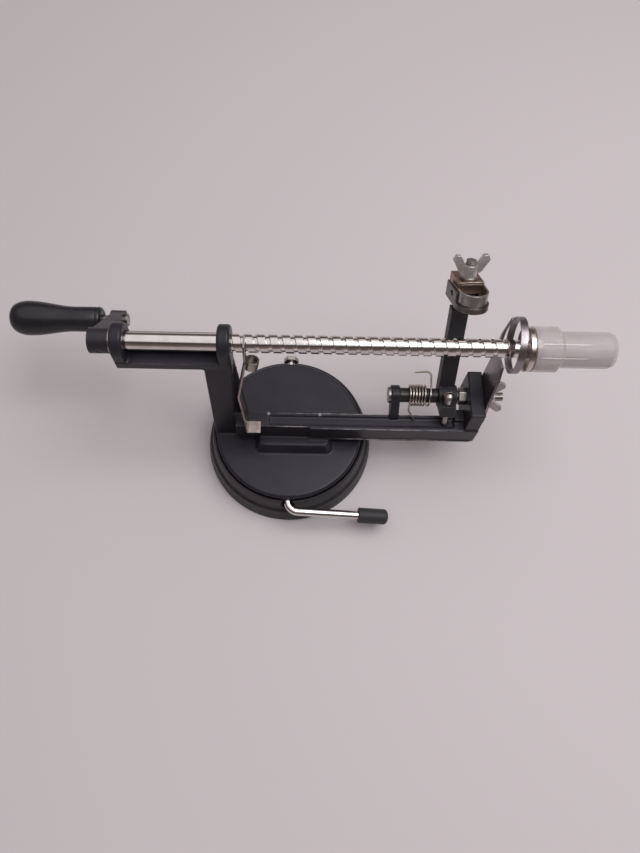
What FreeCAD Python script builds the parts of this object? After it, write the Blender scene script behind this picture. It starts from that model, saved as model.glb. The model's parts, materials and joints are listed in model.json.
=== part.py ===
"""Hand-cranked apple peeler on a suction base, as a parametric document.

Frame: the origin is the centre of the suction base on the table, +X runs along
the lead screw towards the fork, +Y away from the user, +Z up. Millimetres.
"""
import FreeCAD, Part
import math
import os
import re
import Sketcher

from FreeCAD import Rotation, Vector

# Driving dimensions: name, size, what it is.
DIMENSIONS = [
    ("fit", 0.05, "radial clearance of a running fit"),
    ("seat", 0.02, "gap between faces that lie on each other"),

    ("cup_spread", 6.5, "how far the rubber cup's foot stands out past the plate"),
    ("cup_waist", 3.9, "how far the ledge of the cup's skirt stands out"),
    ("cup_ledge_z", 11.5, "height of the ledge on the skirt"),
    ("cup_lip", 2.1, "how far the lip round the plate stands out"),
    ("cup_lip_z", 21.2, "top of the lip"),
    ("cup_hole_r", 4.1, "radius of the skirt's hole round the lever's bend"),
    ("cup_hole_play", 0.3, "play of the lever's axle in the skirt"),
    ("membrane", 3.2, "thickness of the rubber under the plate"),

    ("plate_r", 43.5, "radius of the round plate"),
    ("plate_top", 24.0, "top face of the plate"),
    ("plate_wall", 3.0, "wall of the plate and its rim"),
    ("rim_foot", 10.4, "lower edge of the plate's rim"),
    ("plate_edge", 1.4, "bevel of the plate's edge"),

    ("island_left", -20.0, "left end of the raised pad"),
    ("island_right", 26.0, "right end of the raised pad"),
    ("island_front", -16.6, "front foot of the pad"),
    ("island_back", 9.0, "rear foot of the pad"),
    ("island_draft", 3.2, "how far the pad's sides lean in"),
    ("island_top", 30.0, "top of the pad"),
    ("island_edge", 1.8, "bevel of the pad's upright corners"),

    ("rail_left", -30.0, "left end of the rail"),
    ("rail_right", 108.0, "right end of the rail"),
    ("rail_front", -8.7, "front face of the rail"),
    ("rail_back", 1.1, "rear face of the rail"),
    ("rail_top", 44.0, "top face of the rail"),
    ("rail_bottom", 29.0, "bottom of the rail"),
    ("rail_lip", 0.5, "step out of the rail's bottom edge"),
    ("rail_lip_tall", 1.6, "height of that step"),
    ("rail_jog_x", 12.0, "where the rail's front face steps out"),
    ("rail_jog", 1.0, "depth of that step"),
    ("groove_left", -11.0, "left end of the channel in the rail"),
    ("groove_right", 94.0, "right end of the channel"),
    ("groove_front", -6.3, "front wall of the channel"),
    ("groove_back", -0.7, "rear wall of the channel"),
    ("groove_deep", 1.2, "depth of the channel"),

    ("screw_y", 17.0, "lead screw axis behind the base's centre"),
    ("screw_z", 94.0, "height of the lead screw axis"),
    ("screw_d", 9.525, "diameter of the lead screw"),
    ("screw_break", 0.6, "bevel at the screw's ends"),
    ("screw_back", 0.4, "how far the screw's ends stand back in the hub and collar"),
    ("pitch", 6.35, "lead of the thread"),
    ("thread_deep", 0.8, "depth of the thread groove"),
    ("thread_open", 2.5, "width of the groove at the surface"),
    ("thread_floor", 1.9, "width of the groove's floor"),
    ("thread_left", -29.5, "where the thread starts"),
    ("thread_right", 117.0, "where the thread ends"),
    ("tooth_x", -21.8, "where the latch's tooth meets the thread"),

    ("hub_left", -99.9, "left face of the crank hub"),
    ("hub_right", -89.7, "right face of the crank hub"),
    ("hub_r", 6.6, "radius of the crank hub"),
    ("crank_y", 48.2, "handle axis, y"),
    ("crank_z", 63.0, "handle axis, height"),
    ("boss_r", 5.4, "radius of the boss at the crank's end"),
    ("crank_left", -99.9, "left face of the crank's web"),
    ("crank_right", -93.4, "right face of the crank's web"),
    ("crank_tall", 10.0, "height of the crank's web"),

    ("ring_r", 9.5, "outer radius of the bearing rings"),
    ("bearing_edge", 0.9, "bevel of the bearing rings"),
    ("outer_ring_left", -88.6, "left face of the outer ring"),
    ("outer_ring_right", -82.1, "right face of the outer ring"),
    ("inner_ring_left", -35.6, "left face of the inner ring"),
    ("inner_ring_right", -29.0, "right face of the inner ring"),
    ("beam_front", 7.2, "front face of the beam under the screw"),
    ("beam_back", 26.6, "rear face of the beam"),
    ("beam_bottom", 82.5, "bottom of the beam"),
    ("beam_top", 87.8, "top of the beam"),

    ("post_left", -43.5, "left face of the upright"),
    ("post_right_top", -29.0, "right face of the upright under the ring"),
    ("post_right_foot", -31.5, "right face of the upright at its foot"),
    ("post_front_top", 7.2, "front face of the upright under the ring"),
    ("post_back_top", 19.0, "rear face of the upright under the ring"),
    ("post_front_foot", -4.2, "front face of the upright at the plate"),
    ("post_back_foot", 9.0, "rear face of the upright at the plate"),
    ("flange_thick", 3.2, "thickness of the upright's rear web"),
    ("flange_right", -24.4, "right edge of the rear web"),

    ("wall_thick", 8.0, "thickness of the blade wall at the rail's right end"),
    ("wall_front", -7.0, "front face of the wall at its top"),
    ("wall_back", 21.0, "rear edge of the wall"),
    ("wall_top", 61.0, "top of the wall"),
    ("wall_waist", 42.0, "where the wall's rear edge turns down"),
    ("ledge_wide", 5.5, "width of the ledge beside the wall"),
    ("ledge_front", -3.0, "front of the ledge"),
    ("ledge_back", 4.0, "rear of the ledge"),
    ("ledge_top", 46.0, "top of the ledge"),

    ("pivot_y", 10.0, "pivot axis of the peeling arm, y"),
    ("pivot_z", 51.5, "height of the pivot axis"),
    ("pivot_d", 5.0, "diameter of the pivot bolt"),
    ("pivot_head_r", 4.6, "radius of the bolt's head"),
    ("pivot_head", 1.5, "thickness of the bolt's head"),
    ("lug_left", 57.5, "left face of the pivot lug"),
    ("lug_right", 62.5, "right face of the pivot lug"),
    ("lug_r", 5.6, "radius of the lug's top"),
    ("sleeve_r", 4.15, "radius of the spring's sleeve"),
    ("bolt_end", 121.0, "right end of the pivot bolt"),
    ("lock_nut", 4.38, "thickness of the lock nut against the wall"),
    ("lock_nut_flats", 8.6, "width across the lock nut's flats"),

    ("coil_r", 5.85, "radius of the spring's wire centre"),
    ("coil_wire", 1.2, "diameter of the spring's wire"),
    ("coil_left", 67.9, "centre of the coil's first turn"),
    ("coil_pitch", 1.65, "pitch of the close turns"),
    ("coil_loose_pitch", 3.0, "pitch of the last, loose turn"),
    ("coil_close_turns", 5.0, "whole close turns"),
    ("spring_foot_y", -2.3, "where the lower leg meets the rail, y"),
    ("spring_tail_y", 22.6, "how far back the upper leg runs"),
    ("spring_tail_z", 57.0, "height of the upper leg's bend"),
    ("spring_hook", 10.0, "length of the hook on the upper leg"),
    ("spring_bend", 3.0, "radius of the bends in the legs"),
    ("spring_clear", 5.5, "straight run of the lower leg before it bends"),
    ("spring_foot_x", 72.0, "where the lower leg meets the rail, x"),

    ("arm_lean", 28.8, "backward lean of the peeling arm, degrees"),
    ("arm_left", 84.0, "left face of the arm's bar"),
    ("arm_right", 92.8, "right face of the arm's bar"),
    ("arm_front", -0.4, "front face of the bar from the pivot"),
    ("arm_back", 6.6, "rear face of the bar from the pivot"),
    ("arm_long", 69.5, "length of the bar above the pivot"),
    ("arm_hub_r", 6.2, "radius of the arm's hub"),
    ("arm_hub_right", 94.2, "right face of the hub"),
    ("stop_x", 88.5, "stop screw, x"),
    ("stop_out", 8.35, "stop screw in front of the pivot, along the arm's frame"),
    ("stop_d", 4.0, "diameter of the stop screw"),
    ("stop_head_r", 2.9, "radius of the stop screw's head"),
    ("stop_head_low", 5.2, "underside of the screw's head above the pivot"),
    ("stop_head", 2.8, "height of the screw's head"),
    ("stop_tip", -12.21, "centre of the screw's round tip below the pivot"),

    ("head_yaw", 8.0, "turn of the clamp about its stud, degrees"),
    ("tongue_low", 54.0, "where the arm narrows for the clamp"),
    ("tongue_half", 4.0, "half the width of the arm's tongue"),
    ("bracket_left", -6.5, "left side of the clamp bracket from the stud"),
    ("bracket_right", 6.5, "right side of the bracket from the stud"),
    ("bracket_front", -5.7, "front edge of the bracket's top from the stud"),
    ("bracket_back", 8.4, "rear of the bracket from the stud"),
    ("bracket_low", 57.5, "lower edge of the bracket's sides"),
    ("bracket_top", 71.1, "top of the bracket"),
    ("bracket_wall", 1.5, "thickness of the bracket"),
    ("strap", 1.0, "thickness of the peeling blade"),
    ("strap_low", 60.8, "lower edge of the peeling blade"),
    ("strap_tall", 8.0, "height of the peeling blade"),
    ("strap_back", -0.6, "rear end of the blade's legs"),
    ("strap_centre", -9.3, "centre of the blade's round front"),
    ("guard", 1.1, "thickness of the depth guard"),
    ("guard_low", 59.6, "lower edge of the guard's round front"),
    ("guard_tall", 3.0, "height of the guard's round front"),
    ("guard_back", 5.5, "rear end of the guard's leg"),
    ("rivet_y", -3.2, "blade rivets in front of the stud"),
    ("rivet_r", 1.3, "radius of the blade rivets"),
    ("stud_x", 90.2, "clamp stud, x"),
    ("stud_y", 3.1, "clamp stud from the pivot, along the arm's frame"),
    ("stud_d", 5.0, "diameter of the clamp stud"),
    ("stud_low", 58.0, "lower end of the stud"),
    ("stud_top", 80.5, "upper end of the stud"),

    ("nut_r", 3.8, "radius of a wing nut's hub"),
    ("nut_tall", 6.0, "height of a wing nut's hub"),
    ("nut_bore_r", 2.55, "bore of a wing nut"),
    ("wing_reach", 9.4, "reach of a wing from the axis"),
    ("wing_root", 2.6, "where a wing leaves the hub"),
    ("wing_thick", 2.4, "thickness of a wing"),
    ("wing_wide", 4.3, "width of a wing"),
    ("wing_top", 11.2, "height of a wing's tip above the hub's face"),
    ("wing_low", 1.2, "height of a wing's root above the hub's face"),
    ("blade_nut_turn", 55.0, "how far the blade's wing nut stands turned, degrees"),
    ("washer_r", 5.6, "radius of the plain washers"),
    ("washer_thick", 1.0, "thickness of the plain washers"),
    ("clamp_washer_r", 4.6, "radius of the clamp's washer"),

    ("blade_thick", 1.4, "thickness of the coring blade"),
    ("blade_ring_r", 14.6, "outer radius of the coring ring"),
    ("blade_ring_wall", 0.9, "wall of the coring ring"),
    ("blade_ring_y", 18.65, "centre of the coring ring, y"),
    ("blade_ring_z", 94.7, "centre of the coring ring, height"),
    ("blade_ring_wide", 3.6, "width of the coring ring"),
    ("blade_ring_yaw", 5.0, "how far the ring's front side stands to the left, degrees"),
    ("blade_ring_gap", 0.7, "gap between the coring ring and the fork's collar"),
    ("blade_knee", 63.0, "height where the blade bends towards the ring"),

    ("collar_left", 120.5, "left face of the fork collar"),
    ("collar_step", 123.8, "where the collar gets smaller"),
    ("collar_right", 127.4, "right face of the collar"),
    ("collar_r", 11.7, "radius of the collar"),
    ("collar_small_r", 10.6, "radius of its smaller step"),
    ("collar_seat", 122.2, "where the screw's full diameter ends in the collar"),
    ("spigot_r", 3.0, "radius of the screw's spigot in the collar"),
    ("tine_circle", 4.8, "radius of the circle the tines stand on"),
    ("tine_r", 1.25, "radius of a tine"),
    ("tine_end", 154.0, "where a tine's point starts"),
    ("tine_tip", 160.0, "tip of a tine"),
    ("tine_deep", 5.0, "depth of a tine in the collar"),
    ("cap_left", 124.1, "mouth of the cap"),
    ("cap_shoulder", 136.7, "where the cap gets narrower"),
    ("cap_taper", 2.2, "length of the cap's shoulder"),
    ("cap_end", 166.8, "closed end of the cap"),
    ("cap_r", 11.7, "outer radius of the cap's mouth"),
    ("cap_small_r", 9.4, "outer radius of the cap's body"),
    ("cap_wall", 0.95, "wall of the cap"),
    ("cap_round", 3.2, "rounding of the cap's end"),

    ("grip_right", -106.0, "right end of the handle grip"),
    ("grip_long", 51.0, "length of the grip"),
    ("grip_neck_r", 7.1, "radius of the grip's neck"),
    ("grip_bulb_r", 9.7, "radius of the grip's bulb"),
    ("axle_d", 5.0, "diameter of the handle's axle"),
    ("axle_head_r", 3.4, "radius of the axle's riveted head"),
    ("axle_head", 1.6, "thickness of that head"),
    ("axle_left", -144.0, "left end of the axle, inside the grip"),

    ("latch_thick", 1.0, "thickness of the latch's strip"),
    ("latch_wide", 7.0, "width of the latch's strip"),
    ("latch_foot_x", -23.0, "bend of the latch's foot"),
    ("latch_tab_right", -15.6, "right edge of the foot"),
    ("latch_front", -12.0, "front edge of the foot"),
    ("latch_knee_x", -26.9, "the strip's bend, x"),
    ("latch_knee_y", -1.6, "front edge of the strip at its bend"),
    ("latch_knee_z", 68.0, "the strip's bend, height"),
    ("latch_nose_x", -22.3, "left face of the nose"),
    ("latch_nose_y", 6.2, "front edge of the nose"),
    ("latch_nose_z", 89.5, "foot of the nose"),
    ("latch_top_z", 102.0, "top of the nose"),
    ("latch_notch_r", 5.4, "radius of the nose's notch for the screw"),
    ("latch_nose_r", 10.6, "radius of the nose's outer corner"),
    ("latch_loop_r", 3.7, "radius of the thumb loop rolled along the strip"),
    ("latch_loop_long", 5.5, "length of the thumb loop"),
    ("latch_loop_rise", 0.72, "where the loop starts between the bend and the nose, 0 to 1"),
    ("latch_loop_in", 2.1, "centre of the loop in front of the strip's rear edge"),
    ("latch_loop_weld", 0.5, "how far the loop's wall runs into the strip"),
    ("tooth_turn", 152.0, "where the tooth stands round the screw, degrees from +Y up"),
    ("tooth_r", 4.3, "how close the tooth comes to the screw's axis"),
    ("tooth_wide", 2.2, "width of the tooth"),

    ("lever_d", 4.8, "diameter of the lever's rod"),
    ("lever_z", 18.0, "height of the lever's axis"),
    ("lever_back", 6.9, "how far the axle's rear end stands out past the plate"),
    ("lever_front", 5.9, "how far the lever's outer arm stands in front of the plate"),
    ("lever_bend", 6.0, "radius of the lever's bend"),
    ("lever_reach", 59.0, "length of the lever's arm"),
    ("lever_dip", 6.5, "how far the arm points down at rest, degrees"),
    ("lever_splay", 1.0, "how far the arm points towards the user, degrees"),
    ("cap_long", 17.5, "length of the lever's rubber cap"),
    ("cap_end_r", 4.5, "radius of the lever's rubber cap"),
    ("cam_throw", 1.2, "eccentricity of the lever's cam"),
    ("cam_r", 4.4, "radius of the cam"),
    ("cam_long", 6.4, "length of the cam"),
    ("lever_nut_r", 4.8, "radius of the lever's nut"),
    ("lever_nut", 2.6, "thickness of the lever's nut"),
    ("lever_nut_out", 3.7, "gap between the plate's edge and the lever's nut"),
    ("yoke_play", 0.5, "play of the cam in the stem's window"),
    ("yoke_wall", 1.6, "walls of the stem's window"),
    ("yoke_deep", 7.0, "thickness of the stem"),
    ("stem_foot_r", 11.0, "radius of the stem's foot"),
    ("stem_foot", 1.6, "thickness of the stem's foot"),
    ("stem_pocket", 27.4, "top of the pocket over the stem"),
]
SIZE = {name: value for name, value, meaning in DIMENSIONS}

# Places that follow from the driving dimensions.
CUP_R, WAIST_R, LIP_R = "(plate_r + cup_spread)", "(plate_r + cup_waist)", "(plate_r + cup_lip)"
WALL_LEFT = "(rail_right - wall_thick)"
LOCK_NUT_LEFT = "(rail_right - wall_thick - seat - lock_nut)"
BLADE_LEFT = "(rail_right + fit)"
BLADE_RIGHT = "(rail_right + fit + blade_thick)"
RING_RIGHT = "(collar_left - blade_ring_gap)"

# Rotations that stand a primitive's own Z axis along X or Y.
ALONG_X = Rotation(Vector(0, 1, 0), 90)
ALONG_Y = Rotation(Vector(1, 0, 0), -90)
UPRIGHT = Rotation(Vector(1, 0, 0), 90)

doc = FreeCAD.newDocument("apple_peeler")
subparts = []


def fill_sheet():
    """Write every driving dimension into the sheet, one row each."""
    sheet = doc.addObject("Spreadsheet::Sheet", "Sizes")
    for row, (name, value, meaning) in enumerate(DIMENSIONS, 1):
        sheet.set("A%d" % row, name)
        sheet.set("B%d" % row, str(value))
        sheet.set("C%d" % row, meaning)
        sheet.setAlias("B%d" % row, name)
    doc.recompute()


def rule(text):
    """Turn plain dimension names into references to the sheet."""
    def swap(word):
        return "Sizes." + word.group(0) if word.group(0) in SIZE else word.group(0)
    return re.sub(r"[A-Za-z_][A-Za-z_0-9]*", swap, text)


def bind(item, at):
    """Bind the three coordinates of a placement to rules."""
    for letter, text in zip("xyz", at):
        item.setExpression("Placement.Base." + letter, rule(text))


def solid(kind, name, at=("0", "0", "0"), turn=None, **sizes):
    """Add a Part primitive with its sizes and its corner bound to rules."""
    item = doc.addObject("Part::" + kind, name)
    if turn is not None:
        item.Placement.Rotation = turn
    for key, text in sizes.items():
        item.setExpression(key, rule(text))
    bind(item, at)
    return item


def rod(name, left, right, radius, y="screw_y", z="screw_z"):
    """A cylinder along X from one x to another."""
    return solid("Cylinder", name, (left, y, z), ALONG_X,
                 Radius=radius, Height="(%s) - (%s)" % (right, left))


def block(name, low, high):
    """A box between two corners."""
    spans = ["(%s) - (%s)" % (b, a) for a, b in zip(low, high)]
    return solid("Box", name, low, Length=spans[0], Width=spans[1], Height=spans[2])


def tapered(name, low_z, high_z, foot, top):
    """An upright wedge; foot and top each hold x min, x max, y min, y max."""
    return solid("Wedge", name, turn=UPRIGHT,
                 Ymin=low_z, Ymax=high_z,
                 Xmin=foot[0], Xmax=foot[1], Zmin="-(%s)" % foot[3], Zmax="-(%s)" % foot[2],
                 X2min=top[0], X2max=top[1], Z2min="-(%s)" % top[3], Z2max="-(%s)" % top[2])


def join(name, *items):
    """Fuse several objects."""
    item = doc.addObject("Part::MultiFuse", name)
    item.Shapes = list(items)
    item.Refine = True
    return item


def group(name, *items):
    """Hold several separate solids as one object."""
    item = doc.addObject("Part::Compound", name)
    item.Links = list(items)
    return item


def cut(name, base, *tools):
    """Cut one or more tools out of a base."""
    item = doc.addObject("Part::Cut", name)
    item.Base = base
    item.Tool = tools[0] if len(tools) == 1 else join(name + "_tools", *tools)
    return item


def bevelled(name, base, size, chosen):
    """Bevel the edges of a base that a test picks."""
    doc.recompute()
    item = doc.addObject("Part::Chamfer", name)
    item.Base = base
    item.Edges = [(number, size, size)
                  for number, edge in enumerate(base.Shape.Edges, 1) if chosen(edge)]
    return item


def sketch_in(body, plane, points):
    """A closed outline of straight sides; each corner is bound to two rules."""
    sketch = body.newObject("Sketcher::SketchObject", body.Name + "_outline")
    home = [item for item in body.Origin.OriginFeatures if item.Role == plane]
    sketch.AttachmentSupport = [(home[0], "")]
    sketch.MapMode = "FlatFace"
    count = len(points)
    start = [Vector(math.cos(math.tau * i / count), math.sin(math.tau * i / count), 0)
             for i in range(count)]
    for i in range(count):
        sketch.addGeometry(Part.LineSegment(start[i], start[(i + 1) % count]), False)
    for i in range(count):
        sketch.addConstraint(Sketcher.Constraint("Coincident", i, 2, (i + 1) % count, 1))
    for i, corner in enumerate(points):
        for kind, text in zip(("DistanceX", "DistanceY"), corner):
            number = sketch.addConstraint(Sketcher.Constraint(kind, -1, 1, i, 1, 1.0))
            sketch.setExpression("Constraints[%d]" % number, rule(text))
    return sketch


def turned(name, points, at=("0", "0", "0"), axis="H_Axis"):
    """A body of revolution; the outline lies in XZ, turned about X or, with V_Axis, Z."""
    body = doc.addObject("PartDesign::Body", name)
    sketch = sketch_in(body, "XZ_Plane", points)
    feature = body.newObject("PartDesign::Revolution", name + "_turned")
    feature.Profile = sketch
    feature.ReferenceAxis = (sketch, [axis])
    feature.Angle = 360
    bind(body, at)
    return body


def padded(name, plane, points, length, at=("0", "0", "0")):
    """A plate: an outline in one of the origin planes, pushed out to a length."""
    body = doc.addObject("PartDesign::Body", name)
    sketch = sketch_in(body, plane, points)
    feature = body.newObject("PartDesign::Pad", name + "_pad")
    feature.Profile = sketch
    feature.setExpression("Length", rule(length))
    bind(body, at)
    return body


def keep(item, name):
    """Mark an object as one finished piece."""
    item.Label = name
    subparts.append(item)
    return item


def in_arm_frame(item):
    """Lean a piece modelled along the arm back onto the pivot."""
    item.Placement.Rotation = Rotation(Vector(1, 0, 0), -SIZE["arm_lean"])
    bind(item, ("0", "pivot_y", "pivot_z"))
    return item


def in_head_frame(item):
    """Put a piece modelled round the clamp stud onto the arm, with the clamp's turn."""
    lean = Rotation(Vector(1, 0, 0), -SIZE["arm_lean"])
    foot = lean.multVec(Vector(SIZE["stud_x"], SIZE["stud_y"], 0))
    item.Placement.Rotation = lean.multiply(Rotation(Vector(0, 0, 1), SIZE["head_yaw"]))
    item.Placement.Base = foot + Vector(0, SIZE["pivot_y"], SIZE["pivot_z"])
    return item


def bend_point(start, corner, end):
    """The middle of the arc that leaves start and reaches end, both aimed at corner."""
    middle = (start + end) * 0.5
    half = (end - start).Length / 2
    rise = (corner - middle).Length
    if rise < 1e-9:
        return None
    return middle + (corner - middle).normalize() * half * math.tan(math.atan2(rise, half) / 2)


def biarc(start, start_way, end, end_way):
    """Two arcs that join two points with the given directions."""
    across = end - start
    ways = start_way + end_way
    a = 2 * (1 - start_way.dot(end_way))
    b = 2 * across.dot(ways)
    c = -across.dot(across)
    reach = -c / b if a < 1e-9 else (-b + math.sqrt(b * b - 4 * a * c)) / (2 * a)
    first = start + start_way * reach
    last = end - end_way * reach
    knot = (first + last) * 0.5
    return [Part.Arc(start, bend_point(start, first, knot), knot).toShape(),
            Part.Arc(knot, bend_point(knot, last, end), end).toShape()]


def tube_along(edges, radius, sides=0):
    """An unbroken tube along edges that join smoothly, round or with a count of sides."""
    wire = Part.Wire(edges)
    first = wire.Edges[0]
    way = first.tangentAt(first.FirstParameter)
    start = first.valueAt(first.FirstParameter)
    if sides:
        ring = Part.makePolygon(Part.Wire(Part.makeCircle(radius, start, way)).discretize(sides + 1))
    else:
        ring = Part.Wire(Part.makeCircle(radius, start, way))
    return wire.makePipeShell([ring], True, False)


def free_shape(name, shape):
    """An object that holds a shape made from curves."""
    item = doc.addObject("Part::Feature", name)
    item.Shape = shape
    return item


# The casting: plate, pad, rail, upright, bearing rings and blade wall in one piece.
def base_plate():
    """The round plate with its rim, hollow below, and the pad that carries the rail."""
    disc = solid("Cylinder", "plate_disc", ("0", "0", "rim_foot"),
                 Radius="plate_r", Height="plate_top - rim_foot")
    disc = bevelled("plate_bevelled", disc, SIZE["plate_edge"],
                    lambda edge: edge.Closed and edge.CenterOfMass.z > SIZE["plate_top"] - 0.1)
    hollow = solid("Cylinder", "plate_hollow", ("0", "0", "rim_foot"),
                   Radius="plate_r - plate_wall",
                   Height="plate_top - plate_wall - rim_foot")
    shell = cut("plate_shell", disc, hollow)
    island = tapered("pad_sides", "plate_top - 1", "island_top",
                     ("island_left", "island_right", "island_front", "island_back"),
                     ("island_left + island_draft", "island_right - island_draft",
                      "island_front + island_draft", "island_back - island_draft"))
    island = bevelled("pad_bevelled", island, SIZE["island_edge"], upright_edge)
    pocket = block("stem_pocket_space",
                   ("-cam_r - cam_throw - yoke_wall - 2 * yoke_play - 0.6", "-yoke_deep / 2 - 0.7",
                    "plate_top - plate_wall - 1"),
                   ("cam_r + cam_throw + yoke_wall + 2 * yoke_play + 0.6", "yoke_deep / 2 + 0.7",
                    "stem_pocket"))
    return cut("plate_and_pad", join("plate_with_pad", shell, island), pocket)


def upright_edge(edge):
    """True for an edge that climbs rather than lies flat."""
    first, last = edge.Vertexes[0].Point, edge.Vertexes[-1].Point
    return abs(last.z - first.z) > 1.0


def side_edge(edge):
    """True for an edge that lies in a plane across the screw and isn't at the bottom."""
    box = edge.BoundBox
    return box.XLength < 0.01 and box.ZMax > SIZE["beam_bottom"] + 1


def rail():
    """The bar from the upright to the blade wall, with its channel and bottom step."""
    bar = block("rail_bar", ("rail_left", "rail_front", "rail_bottom"),
                ("rail_right", "rail_back", "rail_top"))
    lip = block("rail_step", ("rail_jog_x", "rail_front - rail_lip", "rail_bottom"),
                ("rail_right - 2", "rail_front + 1", "rail_bottom + rail_lip_tall"))
    jog = block("rail_jog_space", ("rail_left - 1", "rail_front - 1", "rail_bottom - 1"),
                ("rail_jog_x", "rail_front + rail_jog", "rail_top + 1"))
    channel = block("rail_channel", ("groove_left", "groove_front", "rail_top - groove_deep"),
                    ("groove_right", "groove_back", "rail_top + 1"))
    return cut("rail_shaped", join("rail_stock", bar, lip), jog, channel)


def upright():
    """The leaning post from the plate to the inner ring, with its thin rear web."""
    post = tapered("post", "plate_top - 1.5", "beam_bottom + 1",
                   ("post_left", "post_right_foot", "post_front_foot", "post_back_foot"),
                   ("post_left", "post_right_top", "post_front_top", "post_back_top"))
    web = tapered("post_web", "plate_top - 1.5", "beam_bottom - 6",
                  ("post_right_foot - 1", "flange_right", "post_back_foot - flange_thick",
                   "post_back_foot"),
                  ("post_right_top - 1", "post_right_top", "post_back_top - flange_thick - 1",
                   "post_back_top - 1"))
    return join("upright", post, web)


def bearings():
    """The two rings round the lead screw and the beam that joins them."""
    beam = block("beam", ("outer_ring_left + bearing_edge / 2", "beam_front", "beam_bottom"),
                 ("inner_ring_right - 0.5", "beam_back", "beam_top"))
    rings = []
    for side in ("outer_ring", "inner_ring"):
        left, right = side + "_left", side + "_right"
        ring = rod(side, left, right, "ring_r")
        cheeks = block(side + "_cheeks", (left, "screw_y - ring_r", "beam_bottom"),
                       (right, "screw_y + ring_r", "screw_z"))
        whole = join(side + "_whole", ring, cheeks)
        rings.append(bevelled(side + "_bevelled", whole, SIZE["bearing_edge"], side_edge))
    return join("bearings", beam, *rings)


def blade_wall():
    """The wall at the rail's right end, its ledge, and the pivot lug on the rail."""
    wall = padded("wall", "YZ_Plane",
                  [("wall_front", "wall_top"), ("rail_front", "rail_bottom"),
                   ("rail_back + 3", "rail_bottom"), ("wall_back", "wall_waist"),
                   ("wall_back", "wall_top")],
                  "wall_thick", at=(WALL_LEFT, "0", "0"))
    ledge = block("wall_ledge", (WALL_LEFT + " - ledge_wide", "ledge_front", "rail_top - 2"),
                  (WALL_LEFT + " + 1", "ledge_back", "ledge_top"))
    lug = rod("lug_top", "lug_left", "lug_right", "lug_r", "pivot_y", "pivot_z")
    web = padded("lug_web", "YZ_Plane",
                 [("pivot_y - lug_r * 0.75", "pivot_z + lug_r * 0.66"),
                  ("groove_back - 0.8", "rail_top - 0.2"), ("groove_back + 0.2", "rail_top - 6"),
                  ("rail_back + 0.5", "rail_top - 6"),
                  ("pivot_y + lug_r * 0.5", "pivot_z - lug_r * 0.86")],
                 "lug_right - lug_left", at=("lug_left", "0", "0"))
    return join("wall_and_lug", wall, ledge, lug, web)


def frame_casting():
    """The whole casting with its bores."""
    body = join("casting_stock", base_plate(), rail(), upright(), bearings(), blade_wall())
    screw_bore = rod("screw_bore", "outer_ring_left - 1", "inner_ring_right + 1",
                     "screw_d / 2 + fit")
    pivot_bore = rod("pivot_bore", "lug_left - 1", "rail_right + 1", "pivot_d / 2 + fit",
                     "pivot_y", "pivot_z")
    lever_bore = solid("Cylinder", "lever_bore", ("0", "-plate_r - 1", "lever_z"), ALONG_Y,
                       Radius="lever_d / 2 + fit", Height="2 * plate_r + 2")
    keep(cut("frame_casting_shape", body, screw_bore, pivot_bore, lever_bore), "frame_casting")


# The suction base: rubber cup, its stem, and the lever that lifts the stem.
def suction_cup():
    """The rubber cup: skirt, lip round the plate and flat sealing disc."""
    skirt = turned("cup_skirt", [
        ("0", "0"), (CUP_R, "0"), (CUP_R, "membrane / 2"),
        (WAIST_R + " + 0.9", "cup_ledge_z - 1"), (WAIST_R + " - 0.5", "cup_ledge_z + 0.4"),
        (LIP_R, "cup_lip_z - 1"), (LIP_R + " - 0.5", "cup_lip_z"),
        ("plate_r + 0.7", "cup_lip_z - 0.3"), ("plate_r + 0.3", "rim_foot - seat"),
        ("plate_r - plate_wall - 1", "rim_foot - seat"),
        ("plate_r - plate_wall - 4", "membrane"), ("0", "membrane")],
        axis="V_Axis")
    hole = solid("Cylinder", "cup_axle_hole", ("0", "-" + CUP_R, "lever_z"), ALONG_Y,
                 Radius="lever_d / 2 + cup_hole_play", Height="2 * " + CUP_R)
    mouth = solid("Cylinder", "cup_lever_mouth", ("0", "-" + CUP_R, "lever_z"), ALONG_Y,
                  Radius="cup_hole_r", Height="cup_spread + 0.2")
    slot = block("cup_axle_slot", ("-lever_d / 2 - cup_hole_play", "-" + CUP_R, "lever_z"),
                 ("lever_d / 2 + cup_hole_play", CUP_R, "cup_lip_z + 1"))
    keep(cut("suction_cup_shape", skirt, hole, mouth, slot), "suction_cup")


def cup_stem():
    """The stem bonded to the membrane, with a window that the cam works in."""
    low = "membrane + seat"
    floor = "lever_z - cam_throw - cam_r - yoke_play"
    ceiling = "lever_z - cam_throw + cam_r + yoke_play"
    half = "(cam_r + cam_throw + 2 * yoke_play)"
    foot = solid("Cylinder", "stem_foot_disc", ("0", "0", low),
                 Radius="stem_foot_r", Height="stem_foot")
    post = block("stem_post", ("-%s - yoke_wall" % half, "-yoke_deep / 2", low),
                 (half + " + yoke_wall", "yoke_deep / 2", ceiling + " + yoke_wall"))
    window = block("stem_window", ("-" + half, "-yoke_deep", floor),
                   (half, "yoke_deep", ceiling))
    keep(cut("cup_stem_shape", join("stem_stock", foot, post), window), "cup_stem")


def lever_way():
    """The direction of the lever's outer arm at rest."""
    dip = math.radians(SIZE["lever_dip"])
    splay = math.radians(SIZE["lever_splay"])
    return Vector(math.cos(dip) * math.cos(splay), -math.sin(splay), -math.sin(dip))


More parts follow.
